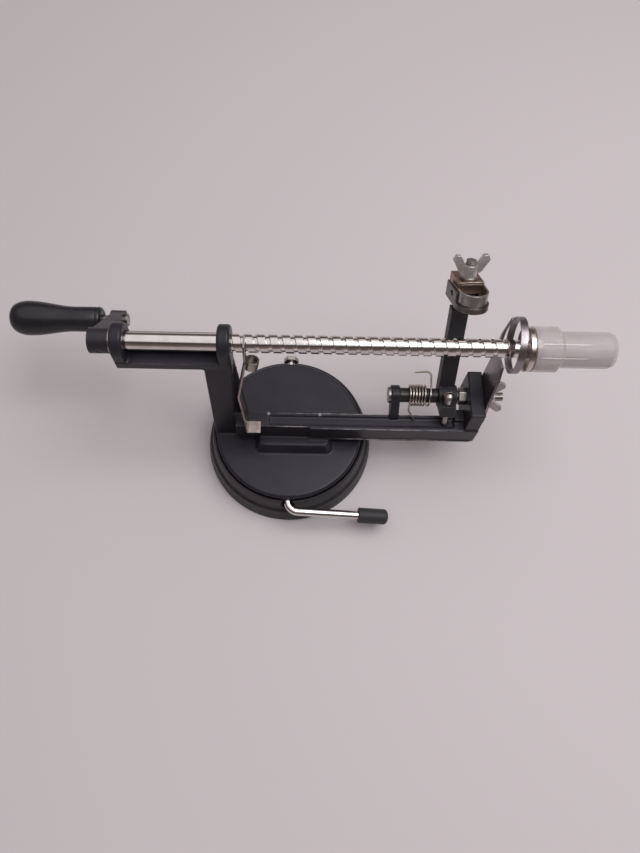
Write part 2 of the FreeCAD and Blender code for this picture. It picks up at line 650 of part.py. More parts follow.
def lever():
    """The bent rod, its cam, nut and rubber cap."""
    bend = SIZE["lever_bend"]
    corner = Vector(0, -SIZE["plate_r"] - SIZE["lever_front"], SIZE["lever_z"])
    way = lever_way()
    turn_in = corner + Vector(0, bend, 0)
    turn_out = corner + way * bend
    rear = Vector(0, SIZE["plate_r"] + SIZE["lever_back"], SIZE["lever_z"])
    far = corner + way * (SIZE["lever_reach"] - 3)
    axle = Part.LineSegment(rear, turn_in).toShape()
    curve = Part.Arc(turn_in, bend_point(turn_in, corner, turn_out), turn_out).toShape()
    arm = Part.LineSegment(turn_out, far).toShape()
    keep(free_shape("lever_rod_shape", tube_along([axle, curve, arm], SIZE["lever_d"] / 2)),
         "lever_rod")

    cap = turned("lever_cap_outside", [
        ("0", "0"), ("0", "cap_end_r"), ("cap_long - 2", "cap_end_r"),
        ("cap_long - 0.6", "cap_end_r - 0.8"), ("cap_long", "cap_end_r - 2.2"), ("cap_long", "0")])
    socket = solid("Cylinder", "lever_cap_socket", ("-1", "0", "0"), ALONG_X,
                   Radius="lever_d / 2 + seat", Height="cap_long - 2")
    grip = cut("lever_grip_shape", cap, socket)
    mouth = corner + way * (SIZE["lever_reach"] - SIZE["cap_long"])
    grip.Placement = FreeCAD.Placement(mouth, Rotation(Vector(1, 0, 0), way))
    keep(grip, "lever_grip")

    cam = solid("Cylinder", "cam_disc", ("0", "-cam_long / 2", "lever_z - cam_throw"), ALONG_Y,
                Radius="cam_r", Height="cam_long")
    cam_bore = solid("Cylinder", "cam_bore", ("0", "-cam_long", "lever_z"), ALONG_Y,
                     Radius="lever_d / 2 + seat", Height="2 * cam_long")
    keep(cut("lever_cam_shape", cam, cam_bore), "lever_cam")

    front = "plate_r + lever_nut_out"
    nut = solid("Prism", "lever_nut_prism", ("0", front, "lever_z"), ALONG_Y,
                Circumradius="lever_nut_r", Height="lever_nut")
    nut_bore = solid("Cylinder", "lever_nut_bore", ("0", front + " - 1", "lever_z"),
                     ALONG_Y, Radius="lever_d / 2 + seat", Height="lever_nut + 2")
    keep(cut("lever_nut_shape", nut, nut_bore), "lever_nut")


# The lead screw, its crank and its fork.
def lead_screw():
    """A round bar with a flat-bottomed right-hand groove of square section."""
    bar = solid("Cylinder", "screw_bar", ("0", "0", "hub_left + screw_back"),
                Radius="screw_d / 2", Height="collar_seat - screw_back - hub_left")
    bar = bevelled("screw_bar_ends", bar, SIZE["screw_break"], lambda edge: edge.Closed)
    spigot = solid("Cylinder", "screw_spigot", ("0", "0", "collar_seat - screw_d"),
                   Radius="spigot_r", Height="collar_right - screw_back - collar_seat + screw_d")
    path = solid("Helix", "thread_path", Pitch="pitch", Radius="screw_d / 2",
                 Height="thread_right - thread_left")
    section = doc.addObject("Sketcher::SketchObject", "thread_section")
    section.Placement.Rotation = UPRIGHT
    corners = [("screw_d / 2 - thread_deep", "-thread_floor / 2"),
               ("screw_d / 2 + thread_deep / 2", "-thread_open / 2"),
               ("screw_d / 2 + thread_deep / 2", "thread_open / 2"),
               ("screw_d / 2 - thread_deep", "thread_floor / 2")]
    start = [Vector(4, -1, 0), Vector(5, -1, 0), Vector(5, 1, 0), Vector(4, 1, 0)]
    for i in range(4):
        section.addGeometry(Part.LineSegment(start[i], start[(i + 1) % 4]), False)
    for i in range(4):
        section.addConstraint(Sketcher.Constraint("Coincident", i, 2, (i + 1) % 4, 1))
    for i, corner in enumerate(corners):
        for kind, text in zip(("DistanceX", "DistanceY"), corner):
            number = section.addConstraint(Sketcher.Constraint(kind, -1, 1, i, 1, 1.0))
            section.setExpression("Constraints[%d]" % number, rule(text))
    groove = doc.addObject("Part::Sweep", "thread_groove")
    groove.Sections = [section]
    groove.Spine = (path, ["Edge1"])
    groove.Solid = True
    groove.Frenet = True
    phase = (SIZE["tooth_turn"] + 90
             + 360 * (SIZE["thread_left"] - SIZE["tooth_x"]) / SIZE["pitch"])
    groove.Placement.Rotation = Rotation(Vector(0, 0, 1), phase)
    bind(groove, ("0", "0", "thread_left"))
    screw = cut("lead_screw_shape", join("screw_stock", bar, spigot), groove)
    screw.Placement.Rotation = ALONG_X
    bind(screw, ("0", "screw_y", "screw_z"))
    keep(screw, "lead_screw")


def crank():
    """Crank arm with hub and boss, washers, set screw, axle and grip."""
    hub = rod("crank_hub", "hub_left", "hub_right", "hub_r")
    boss = rod("crank_boss", "crank_left", "crank_right", "boss_r", "crank_y", "crank_z")
    across = math.hypot(SIZE["crank_y"] - SIZE["screw_y"], SIZE["crank_z"] - SIZE["screw_z"])
    drop = math.degrees(math.atan2(SIZE["crank_z"] - SIZE["screw_z"],
                                   SIZE["crank_y"] - SIZE["screw_y"]))
    web = solid("Box", "crank_web_box", ("0", "0", "-crank_tall / 2"),
                Length="crank_right - crank_left", Height="crank_tall")
    web.Width = across
    holder = group("crank_web", web)
    holder.Placement.Rotation = Rotation(Vector(1, 0, 0), drop)
    bind(holder, ("crank_left", "screw_y", "screw_z"))
    screw_hole = rod("crank_screw_hole", "hub_left - 1", "hub_right + 1", "screw_d / 2 + seat")
    axle_hole = rod("crank_axle_hole", "hub_left - 1", "hub_right + 1", "axle_d / 2 + seat",
                    "crank_y", "crank_z")
    pin_hole = solid("Cylinder", "crank_pin_hole",
                     ("(hub_left + hub_right) / 2", "screw_y - hub_r - 1", "screw_z"), ALONG_Y,
                     Radius="1.5 + seat", Height="hub_r + 1.5 - screw_d / 2")
    body = cut("crank_arm_shape", join("crank_stock", hub, boss, holder),
               screw_hole, axle_hole, pin_hole)
    keep(body, "crank_arm")
    keep(solid("Cylinder", "crank_set_screw_shape",
               ("(hub_left + hub_right) / 2", "screw_y - hub_r + 0.3", "screw_z"), ALONG_Y,
               Radius="1.5", Height="hub_r - 0.3 - screw_d / 2 - seat"), "crank_set_screw")

    washer = rod("thrust_washer_disc", "hub_right + seat", "outer_ring_left - seat", "washer_r + 1")
    bore = rod("thrust_washer_bore", "hub_right - 1", "outer_ring_left + 1",
               "screw_d / 2 + 2 * fit")
    keep(cut("thrust_washer_shape", washer, bore), "thrust_washer")

    shank = rod("axle_shank", "axle_left", "crank_right", "axle_d / 2", "crank_y", "crank_z")
    head = rod("axle_head_disc", "crank_right + seat", "crank_right + axle_head", "axle_head_r",
               "crank_y", "crank_z")
    neck = rod("axle_neck", "crank_right - 1", "crank_right + axle_head / 2", "axle_d / 2",
               "crank_y", "crank_z")
    keep(join("handle_axle_shape", shank, head, neck), "handle_axle")

    ring = rod("grip_washer_disc", "hub_left - washer_thick - seat", "hub_left - seat", "washer_r",
               "crank_y", "crank_z")
    ring_bore = rod("grip_washer_bore", "hub_left - 3", "hub_left + 1", "axle_d / 2 + fit",
                    "crank_y", "crank_z")
    keep(cut("handle_washer_shape", ring, ring_bore), "handle_washer")
    handle_grip()


def handle_grip():
    """The turned grip: straight neck, then a bulb at its outer end."""
    long, neck, bulb = SIZE["grip_long"], SIZE["grip_neck_r"], SIZE["grip_bulb_r"]
    bore = SIZE["axle_d"] / 2 + SIZE["fit"]
    run = [(0.0, neck - 1.4), (-1.6, neck)]
    for share in (0.0, 0.35, 0.65, 1.0):
        swell = (1 - math.cos(math.pi * share)) / 2
        run.append((-long * (0.3 + 0.5 * share), neck - 0.1 + (bulb - neck + 0.1) * swell))
    for turn in (25, 48, 70):
        run.append((-long * (0.8 + 0.2 * math.sin(math.radians(turn))),
                    bulb * (0.35 + 0.65 * math.cos(math.radians(turn)))))
    run.append((-long, 0.35 * bulb))
    floor = SIZE["axle_left"] - SIZE["grip_right"] - 1
    run += [(-long, 0), (floor, 0), (floor, bore), (0, bore), run[0]]
    face = Part.Face(Part.makePolygon([Vector(x, 0, r) for x, r in run]))
    grip = free_shape("handle_grip_shape", face.revolve(Vector(0, 0, 0), Vector(1, 0, 0), 360))
    grip.Placement.Base = Vector(SIZE["grip_right"], SIZE["crank_y"], SIZE["crank_z"])
    keep(grip, "handle_grip")


def fork():
    """The collar on the screw's end, three tines and the clear cap over them."""
    collar = turned("collar_turned", [
        ("collar_left", "screw_d / 2 + seat"), ("collar_left", "collar_r - 0.5"),
        ("collar_left + 0.5", "collar_r"), ("collar_step - 0.5", "collar_r"),
        ("collar_step", "collar_r - 0.5"), ("collar_step", "collar_small_r"),
        ("collar_right - 0.4", "collar_small_r"), ("collar_right", "collar_small_r - 0.4"),
        ("collar_right", "spigot_r + seat"), ("collar_seat + seat", "spigot_r + seat"),
        ("collar_seat + seat", "screw_d / 2 + seat")], at=("0", "screw_y", "screw_z"))
    tines, sockets = [], []
    for number in range(3):
        angle = 90 + 120 * number
        y = "screw_y + tine_circle * cos(%d deg)" % angle
        z = "screw_z + tine_circle * sin(%d deg)" % angle
        root = "collar_right - tine_deep"
        shank = rod("tine_%d" % number, root, "tine_end", "tine_r", y, z)
        point = solid("Cone", "tine_point_%d" % number, ("tine_end", y, z), ALONG_X,
                      Radius1="tine_r", Radius2="0.2", Height="tine_tip - tine_end")
        tines.append(join("tine_whole_%d" % number, shank, point))
        sockets.append(rod("tine_socket_%d" % number, root + " - seat", "collar_right + 1",
                           "tine_r + seat", y, z))
    keep(cut("fork_collar_shape", collar, *sockets), "fork_collar")
    keep(group("fork_tines_shape", *tines), "fork_tines")

    inner, body = "cap_r - cap_wall", "cap_small_r - cap_wall"
    keep(turned("fork_cap_body", [
        ("cap_left", inner), ("cap_left", "cap_r"), ("cap_shoulder", "cap_r"),
        ("cap_shoulder + cap_taper", "cap_small_r"), ("cap_end - cap_round", "cap_small_r"),
        ("cap_end - cap_round * 0.293", "cap_small_r - cap_round * 0.293"),
        ("cap_end", "cap_small_r - cap_round"), ("cap_end", "0"), ("cap_end - cap_wall", "0"),
        ("cap_end - cap_wall", body + " - cap_round + cap_wall"),
        ("cap_end - cap_wall - cap_round * 0.5", body), ("cap_shoulder + cap_taper", body),
        ("cap_shoulder - 0.2", inner)], at=("0", "screw_y", "screw_z")), "fork_cap")


# The latch: one strip of spring steel, bent, notched and curled.
def latch():
    """Foot on the rail, leaning strip, nose with a notch and tooth, thumb loop."""
    thick, wide = SIZE["latch_thick"], SIZE["latch_wide"]
    foot_z = SIZE["rail_top"] + SIZE["seat"]
    foot_at = Vector(SIZE["latch_foot_x"], SIZE["latch_front"], foot_z)
    knee_at = Vector(SIZE["latch_knee_x"], SIZE["latch_knee_y"], SIZE["latch_knee_z"])
    nose_at = Vector(SIZE["latch_nose_x"], SIZE["latch_nose_y"], SIZE["latch_nose_z"])
    tab = Part.makeBox(SIZE["latch_tab_right"] - SIZE["latch_foot_x"], wide, thick, foot_at)
    lower = strip_between(foot_at, knee_at, wide, thick)
    upper = strip_between(knee_at, nose_at, wide, thick)

    axis_at = Vector(0, SIZE["screw_y"], SIZE["screw_z"])
    along = Vector(1, 0, 0)
    nose = Part.makeBox(thick, SIZE["screw_y"] - nose_at.y, SIZE["latch_top_z"] - nose_at.z,
                        nose_at)
    span = SIZE["rail_right"]
    across = axis_at - along * span
    nose = nose.common(Part.makeCylinder(SIZE["latch_nose_r"], span, across, along))
    notch = Part.makeCylinder(SIZE["latch_notch_r"], span, across, along)
    tooth = Part.makeBox(thick, SIZE["latch_notch_r"] + 0.4 - SIZE["tooth_r"], SIZE["tooth_wide"],
                         Vector(SIZE["tooth_x"] - thick / 2, SIZE["tooth_r"],
                                -SIZE["tooth_wide"] / 2))
    tooth.rotate(Vector(0, 0, 0), along, SIZE["tooth_turn"])
    tooth.translate(axis_at)

    loop_r, climb = SIZE["latch_loop_r"], nose_at - knee_at
    loop_at = (knee_at + climb * SIZE["latch_loop_rise"]
               + Vector(thick + loop_r - SIZE["latch_loop_weld"], wide - SIZE["latch_loop_in"], 0))
    curl = Part.makeCylinder(loop_r, SIZE["latch_loop_long"], loop_at, climb)
    inner = Part.makeCylinder(loop_r - thick, climb.Length, loop_at - climb * 0.25, climb)
    curl = curl.cut(inner)
    body = tab.fuse([lower, upper, nose]).cut(notch).fuse([tooth, curl])
    keep(free_shape("latch_shape", body.removeSplitter()), "quick_release_latch")


def strip_between(low, high, wide, thick):
    """A flat strip, its width along Y, from one corner up to another."""
    ends = []
    for corner in (low, high):
        side, back = Vector(thick, 0, 0), Vector(0, wide, 0)
        ends.append(Part.makePolygon([corner, corner + side, corner + side + back,
                                      corner + back, corner]))
    return Part.makeLoft(ends, True, True)


# The peeling arm on its pivot.
def pivot():
    """The long pivot bolt, the sleeve in the spring, the lock nut and the spring."""
    shank = rod("pivot_shank", "lug_left - 0.5", "bolt_end", "pivot_d / 2", "pivot_y", "pivot_z")
    head = rod("pivot_head_disc", "lug_left - seat - pivot_head", "lug_left - seat",
               "pivot_head_r", "pivot_y", "pivot_z")
    keep(join("pivot_bolt_shape", shank, head), "pivot_bolt")
    tube = rod("sleeve_tube", "lug_right + seat", "arm_left - 0.1", "sleeve_r", "pivot_y", "pivot_z")
    bore = rod("sleeve_bore", "lug_right - 1", "arm_left + 1", "pivot_d / 2 + fit",
               "pivot_y", "pivot_z")
    keep(cut("pivot_sleeve_shape", tube, bore), "pivot_sleeve")
    nut = solid("Prism", "lock_nut_prism", (LOCK_NUT_LEFT, "pivot_y", "pivot_z"), ALONG_X,
                Circumradius="lock_nut_flats / 1.732", Height="lock_nut")
    hole = rod("lock_nut_bore", LOCK_NUT_LEFT + " - 1", WALL_LEFT + " + 1", "pivot_d / 2 + seat",
               "pivot_y", "pivot_z")
    keep(cut("pivot_lock_nut_shape", nut, hole), "pivot_lock_nut")
    torsion_spring()


def on_coil(angle, x):
    """A point and direction on the coil; the angle runs from +Y towards +Z."""
    centre = Vector(x, SIZE["pivot_y"], SIZE["pivot_z"])
    return centre + Vector(0, math.cos(angle), math.sin(angle)) * SIZE["coil_r"]


def torsion_spring():
    """Leg on the rail, close turns, one loose turn, leg behind with a hook."""
    radius, wire = SIZE["coil_r"], SIZE["coil_wire"]
    foot_z = SIZE["rail_top"] - SIZE["groove_deep"] + wire / 2 + 0.25
    foot = Vector(0, SIZE["spring_foot_y"] - SIZE["pivot_y"], foot_z - SIZE["pivot_z"])
    tail = Vector(0, SIZE["spring_tail_y"] - SIZE["pivot_y"],
                  SIZE["spring_tail_z"] - SIZE["pivot_z"])
    enter = math.atan2(foot.z, foot.y) % math.tau - math.acos(radius / foot.Length)
    leave = math.atan2(tail.z, tail.y) + math.acos(radius / tail.Length)
    close = (enter - leave) + math.tau * SIZE["coil_close_turns"]
    spots, ways = [], []
    steps_close = 4 * int(SIZE["coil_close_turns"]) + 1
    steps_loose = 8
    x = SIZE["coil_left"]
    angle = enter
    runs = [(close / steps_close, SIZE["coil_pitch"])] * steps_close
    runs += [(math.tau / steps_loose, SIZE["coil_loose_pitch"])] * steps_loose
    lead = SIZE["coil_pitch"]
    for step in range(len(runs) + 1):
        slope = lead / math.tau
        spots.append(on_coil(angle, x))
        ways.append(Vector(slope, radius * math.sin(angle), -radius * math.cos(angle)).normalize())
        if step < len(runs):
            sweep, lead = runs[step]
            x += lead * sweep / math.tau
            angle -= sweep
    bend = SIZE["spring_bend"]
    leg_corner = spots[0] - ways[0] * (SIZE["spring_clear"] + bend / 2)
    leg_end = Vector(SIZE["spring_foot_x"], SIZE["spring_foot_y"], foot_z)
    leg_way = (leg_end - leg_corner).normalize()
    leg_out, leg_in = leg_corner + leg_way * bend / 2, leg_corner + ways[0] * bend / 2
    edges = [Part.LineSegment(leg_end, leg_out).toShape(),
             Part.Arc(leg_out, bend_point(leg_out, leg_corner, leg_in), leg_in).toShape(),
             Part.LineSegment(leg_in, spots[0]).toShape()]
    for i in range(len(spots) - 1):
        edges += biarc(spots[i], ways[i], spots[i + 1], ways[i + 1])
    hook = SIZE["spring_hook"]
    reach = math.sqrt(tail.Length ** 2 - radius ** 2)
    corner = spots[-1] + ways[-1] * reach
    side = Vector(-1, 0, -0.2).normalize()
    turn_in, turn_out = corner - ways[-1] * bend, corner + side * bend
    edges.append(Part.LineSegment(spots[-1], turn_in).toShape())
    edges.append(Part.Arc(turn_in, bend_point(turn_in, corner, turn_out), turn_out).toShape())
    edges.append(Part.LineSegment(turn_out, corner + side * hook).toShape())
    spring = tube_along(edges, wire / 2, 8)
    print("spring self-gap %.2f mm, volume %.1f of %.1f mm3"
          % (self_gap(edges, wire), spring.Volume,
             sum(edge.Length for edge in edges) * math.pi * wire ** 2 / 4))
    keep(free_shape("torsion_spring_shape", spring), "torsion_spring")


def self_gap(edges, wire):
    """The least distance between stretches of wire that aren't neighbours, less the wire."""
    points, along, run = [], [], 0.0
    for edge in edges:
        count = max(2, int(edge.Length / 0.5))
        for point in edge.discretize(count)[:-1]:
            points.append(point)
            along.append(run)
            run += edge.Length / (count - 1)
    gap = min((a - b).Length for i, a in enumerate(points) for j, b in enumerate(points[:i])
              if along[i] - along[j] > 6 * wire)
    return gap - wire


def peeling_arm():
    """The arm's hub, bar and stop lug, in a frame that leans with the arm."""
    hub = rod("arm_hub", "arm_left + 0.1", "arm_hub_right", "arm_hub_r", "0", "0")
    bar = block("arm_bar", ("arm_left", "arm_front", "0"), ("arm_right", "arm_back", "tongue_low"))
    tongue = block("arm_tongue", ("stud_x - tongue_half", "arm_front", "tongue_low - 1"),
                   ("stud_x + tongue_half", "arm_back", "arm_long"))
    lug = block("arm_lug", ("arm_left + 0.4", "-stop_out - stop_d / 2 - 1.8", "-6"),
                ("arm_right", "0", "0.8"))
    bore = rod("arm_bore", "arm_left - 2", "arm_hub_right + 1", "pivot_d / 2 + fit", "0", "0")
    tap = solid("Cylinder", "arm_tap", ("stop_x", "-stop_out", "-8"),
                Radius="stop_d / 2 + seat", Height="12")
    drill = solid("Cylinder", "arm_drill", ("stud_x", "stud_y", "stud_low - seat"),
                  Radius="stud_d / 2 + seat", Height="arm_long")
    keep(in_arm_frame(cut("peeling_arm_shape", join("arm_stock", hub, bar, tongue, lug),
                          bore, tap, drill)), "peeling_arm")

    head_z = "stop_head_low - stop_tip"
    screw = turned("stop_screw_turned", [
        ("0", "-stop_d / 2 * cos(arm_lean * 1 deg)"),
        ("stop_d / 2 * sin(arm_lean * 1 deg)", "-stop_d / 2 * cos(arm_lean * 1 deg)"),
        ("stop_d / 2 * sin(60 deg)", "-stop_d / 4"), ("stop_d / 2", "0"), ("stop_d / 2", head_z),
        ("stop_head_r", head_z), ("stop_head_r", head_z + " + stop_head * 0.5"),
        ("stop_head_r * 0.6", head_z + " + stop_head"), ("0", head_z + " + stop_head")],
        at=("stop_x", "-stop_out", "stop_tip"), axis="V_Axis")
    slot = block("stop_slot", ("stop_x - stop_head_r - 1", "-stop_out - 0.5", "stop_head_low + 1.8"),
                 ("stop_x + stop_head_r + 1", "-stop_out + 0.5", "stop_head_low + 4"))
    keep(in_arm_frame(cut("stop_screw_shape", screw, slot)), "stop_screw")


# The clamp at the arm's head, in a frame round its stud.
def clamp():
    """Bracket, peeling blade, depth guard, rivets, stud and washer."""
    outer = block("bracket_box", ("bracket_left", "bracket_front", "bracket_low"),
                  ("bracket_right", "bracket_back", "bracket_top"))
    inside = block("bracket_inside",
                   ("bracket_left + bracket_wall", "bracket_front - 1", "bracket_low - 1"),
                   ("bracket_right - bracket_wall", "bracket_back - bracket_wall",
                    "bracket_top - bracket_wall"))
    stud_hole = solid("Cylinder", "bracket_hole", ("0", "0", "bracket_top - 4"),
                      Radius="stud_d / 2 + fit", Height="6")
    rivet_z = "strap_low + strap_tall / 2"
    pins = []
    for side, x in (("left", "bracket_left - strap - 0.6"),
                    ("right", "bracket_right - bracket_wall")):
        pins.append(rod("rivet_" + side, x, x + " + bracket_wall + strap + 0.6", "rivet_r",
                        "rivet_y", rivet_z))
    holes = rod("rivet_holes", "bracket_left - 5", "bracket_right + 5", "rivet_r + seat",
                "rivet_y", rivet_z)
    keep(in_head_frame(cut("clamp_bracket_shape", outer, inside, stud_hole, holes)),
         "clamp_bracket")
    keep(in_head_frame(group("blade_rivets_shape", *pins)), "blade_rivets")
    keep(in_head_frame(round_strap("blade", "strap", "0", "strap_low", "strap_tall",
                                   "strap_back", "strap_back", holes)), "peeling_blade")

    band = round_strap("guard", "guard", "(strap + seat)", "guard_low", "guard_tall",
                       "strap_centre + 1", "strap_centre + 0.5", None)
    leg = block("guard_leg", ("bracket_left - 2 * seat - strap - guard", "strap_centre",
                              "guard_low"),
                ("bracket_left - 2 * seat - strap", "guard_back", "strap_low + strap_tall - 1"))
    room = rod("guard_rivet_room", "bracket_left - 6", "bracket_left - seat - strap",
               "rivet_r + 0.2", "rivet_y", rivet_z)
    keep(in_head_frame(cut("depth_guard_shape", join("guard_stock", band, leg), room)),
         "depth_guard")

    stud = solid("Cylinder", "stud_rod", ("0", "0", "stud_low"),
                 Radius="stud_d / 2", Height="stud_top - stud_low")
    keep(in_head_frame(group("clamp_stud_shape", stud)), "clamp_stud")
    disc = solid("Cylinder", "clamp_washer_disc", ("0", "0", "bracket_top + seat"),
                 Radius="clamp_washer_r", Height="washer_thick")
    disc_hole = solid("Cylinder", "clamp_washer_bore", ("0", "0", "bracket_top - 1"),
                      Radius="stud_d / 2 + fit", Height="4")
    keep(in_head_frame(cut("clamp_washer_shape", disc, disc_hole)), "clamp_washer")


def round_strap(name, thick, out, low, tall, left_back, right_back, holes):
    """A U-shaped strap round the bracket, lying outside it by a given distance."""
    middle = "(bracket_left + bracket_right) / 2"
    inner = "((bracket_right - bracket_left) / 2 + seat + %s)" % out
    ring = solid("Cylinder", name + "_round", (middle, "strap_centre", low),
                 Radius=inner + " + " + thick, Height=tall)
    legs = []
    for side, sign, back in (("left", "-", left_back), ("right", "+", right_back)):
        near = "%s %s %s" % (middle, sign, inner)
        far = near + " %s %s" % (sign, thick)
        low_x, high_x = (far, near) if sign == "-" else (near, far)
        legs.append(block("%s_%s_leg" % (name, side), (low_x, "strap_centre", low),
                          (high_x, back + " + 0.01", low + " + " + tall)))
    hollow = solid("Cylinder", name + "_hollow", (middle, "strap_centre", low + " - 1"),
                   Radius=inner, Height=tall + " + 2")
    behind = block(name + "_behind", (middle + " - " + inner, "strap_centre", low + " - 1"),
                   (middle + " + " + inner, "strap_centre + 30", low + " + " + tall + " + 1"))
    far_behind = block(name + "_far_behind", (middle + " - 20", "strap_centre", low + " - 1"),
                       (middle + " + 20", "strap_centre + 30", low + " + " + tall + " + 1"))
    front = cut(name + "_front", ring, hollow, far_behind)
    bent = join(name + "_bent", front, *legs)
    tools = [behind] + ([holes] if holes else [])
    return cut(name + "_strap", bent, *tools)


def wing_nut(name):
    """A wing nut that stands on the origin, its wings spread along X."""
    hub = solid("Cone", name + "_hub", Radius1="nut_r", Radius2="nut_r - 0.7", Height="nut_tall")
    bore = solid("Cylinder", name + "_bore", ("0", "0", "-1"), Radius="nut_bore_r",
                 Height="nut_tall + 2")
    wings = []
    for number, sign in enumerate(("", "-")):
        wing = padded("%s_wing_%d" % (name, number), "XZ_Plane",
                      [(sign + "wing_root", "wing_low"),
                       (sign + "(wing_root + 3)", "wing_low + 1.2"),
                       (sign + "wing_reach", "wing_top - wing_wide * 0.6"),
                       (sign + "(wing_reach - wing_wide * 0.3)", "wing_top"),
                       (sign + "(wing_reach - wing_wide * 0.8)", "wing_top - 0.3"),
                       (sign + "wing_root", "wing_low + wing_wide")],
                      "wing_thick", at=("0", "wing_thick / 2", "0"))
        wings.append(wing)
    return cut(name + "_shape", join(name + "_stock", hub, *wings), bore)


def wing_nuts():
    """One wing nut on the head clamp, one on the blade bolt."""
    upper = wing_nut("clamp_nut")
    bind(upper, ("0", "0", "bracket_top + washer_thick + 2 * seat"))
    keep(in_head_frame(group("clamp_nut_seated", upper)), "clamp_wing_nut")
    lower = wing_nut("blade_nut")
    swing = Rotation(Vector(1, 0, 0), SIZE["blade_nut_turn"])
    lower.Placement.Rotation = swing.multiply(ALONG_X.multiply(Rotation(Vector(0, 0, 1), 90)))
    bind(lower, (BLADE_RIGHT + " + washer_thick + 2 * seat", "pivot_y", "pivot_z"))
    keep(lower, "blade_wing_nut")


def coring_blade():
    """Slicing blade against the wall, bent to the coring ring round the screw."""
    flat = padded("blade_flat", "YZ_Plane",
                  [("-3.5", "32.5"), ("-5.2", "35.5"), ("-4.8", "52"), ("-2", "blade_knee"),
                   ("19", "blade_knee"), ("18", "48"), ("13", "43"), ("4.5", "34"), ("1.5", "31.5")],
                  "blade_thick", at=(BLADE_LEFT, "0", "0"))
    thick, left = SIZE["blade_thick"], SIZE["rail_right"] + SIZE["fit"]
    ring_r, ring_y, ring_z = SIZE["blade_ring_r"], SIZE["blade_ring_y"], SIZE["blade_ring_z"]
    ring_right = SIZE["collar_left"] - SIZE["blade_ring_gap"]
    rise, lean = ring_z - SIZE["blade_knee"], ring_right - thick - left
    # Stations up the strip: share of the height and of the lean, front and rear edge.
    stations = [(0.0, 0.0, -2, 19), (0.45, 0.25, 6, ring_y + 0.4 * ring_r),
                (0.72, 0.48, 16, ring_y + 0.85 * ring_r), (1.07, 0.72, ring_y, ring_y + 1.05 * ring_r)]
    ends = []
    for share, across, front, back in stations:
        x, z = left + lean * across, SIZE["blade_knee"] - 0.01 + rise * share
        ends.append(Part.makePolygon([Vector(x, front, z), Vector(x + thick, front, z),
                                      Vector(x + thick, back, z), Vector(x, back, z),
                                      Vector(x, front, z)]))
    strip = free_shape("blade_strip", Part.makeLoft(ends, True, True))
    tube = rod("blade_tube", BLADE_LEFT, RING_RIGHT + " + blade_ring_r", "blade_ring_r",
               "blade_ring_y", "blade_ring_z")
    slab = solid("Box", "blade_ring_slab", Length="blade_ring_wide", Width="4 * blade_ring_r",
                 Height="4 * blade_ring_r")
    askew = Rotation(Vector(0, 0, 1), -SIZE["blade_ring_yaw"])
    slab.Placement.Rotation = askew
    slab_corner = Vector(SIZE["blade_ring_wide"], 3 * ring_r, 2 * ring_r)
    rear = Vector(ring_right, ring_y + ring_r, ring_z)
    slabs = group("blade_ring_askew", slab)
    slabs.Placement.Base = rear - askew.multVec(slab_corner)
    ring = doc.addObject("Part::MultiCommon", "blade_ring")
    ring.Shapes = [tube, slabs]
    bore = rod("blade_bore", BLADE_LEFT + " - 1", RING_RIGHT + " + 1",
               "blade_ring_r - blade_ring_wall", "blade_ring_y", "blade_ring_z")
    bolt_hole = rod("blade_bolt_hole", BLADE_LEFT + " - 1", BLADE_RIGHT + " + 1",
                    "pivot_d / 2 + 0.15", "pivot_y", "pivot_z")
    keep(cut("coring_blade_shape", join("blade_stock", flat, strip, ring), bore, bolt_hole),
         "coring_blade")
    disc = rod("blade_washer_disc", BLADE_RIGHT + " + seat",
               BLADE_RIGHT + " + seat + washer_thick", "washer_r", "pivot_y", "pivot_z")
    hole = rod("blade_washer_bore", BLADE_LEFT, BLADE_LEFT + " + 6", "pivot_d / 2 + fit",
               "pivot_y", "pivot_z")
    keep(cut("blade_washer_shape", disc, hole), "blade_washer")


def check_and_write():
    """Stop on any failed object, then write each piece to its own file."""
    doc.recompute()
    for item in doc.Objects:
        if "Invalid" in item.State or "Error" in item.State:
            raise RuntimeError("failed object: " + item.Name)
    os.makedirs("parts", exist_ok=True)
    for item in subparts:
        shape = item.Shape
        if shape.isNull() or not shape.isValid():
            raise RuntimeError("bad shape: " + item.Label)
        shape.exportStep(os.path.join("parts", item.Label + ".step"))
        print("%-20s solids %d volume %.0f" % (item.Label, len(shape.Solids), shape.Volume))


fill_sheet()
frame_casting()
suction_cup()
cup_stem()
lever()
lead_screw()
crank()
fork()
latch()
pivot()
peeling_arm()
clamp()
wing_nuts()
coring_blade()
check_and_write()
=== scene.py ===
"""Looks of a hand-cranked apple peeler on a suction base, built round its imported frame.

Laid out as an add-on and run as a script. Every object is in metres, in the frame
of the construction: +X along the lead screw towards the fork, +Y away from the
user, +Z up, the origin in the middle of the suction base on the table.
"""
import json
import math
import bmesh
import bpy
from mathutils import Matrix, Vector, noise


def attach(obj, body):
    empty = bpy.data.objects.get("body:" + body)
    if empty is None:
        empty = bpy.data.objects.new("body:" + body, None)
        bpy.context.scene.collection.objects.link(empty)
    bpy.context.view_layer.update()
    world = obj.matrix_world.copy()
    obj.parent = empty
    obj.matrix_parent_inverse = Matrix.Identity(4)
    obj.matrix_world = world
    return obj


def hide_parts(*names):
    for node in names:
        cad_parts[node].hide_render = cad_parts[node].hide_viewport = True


bl_info = {
    "name": "Apple peeler",
    "version": (1, 0, 0),
    "blender": (4, 5, 0),
    "location": "View3D > Sidebar > Peeler",
    "description": "Dresses the apple peeler's frame and sets its stage",
    "category": "Object",
}

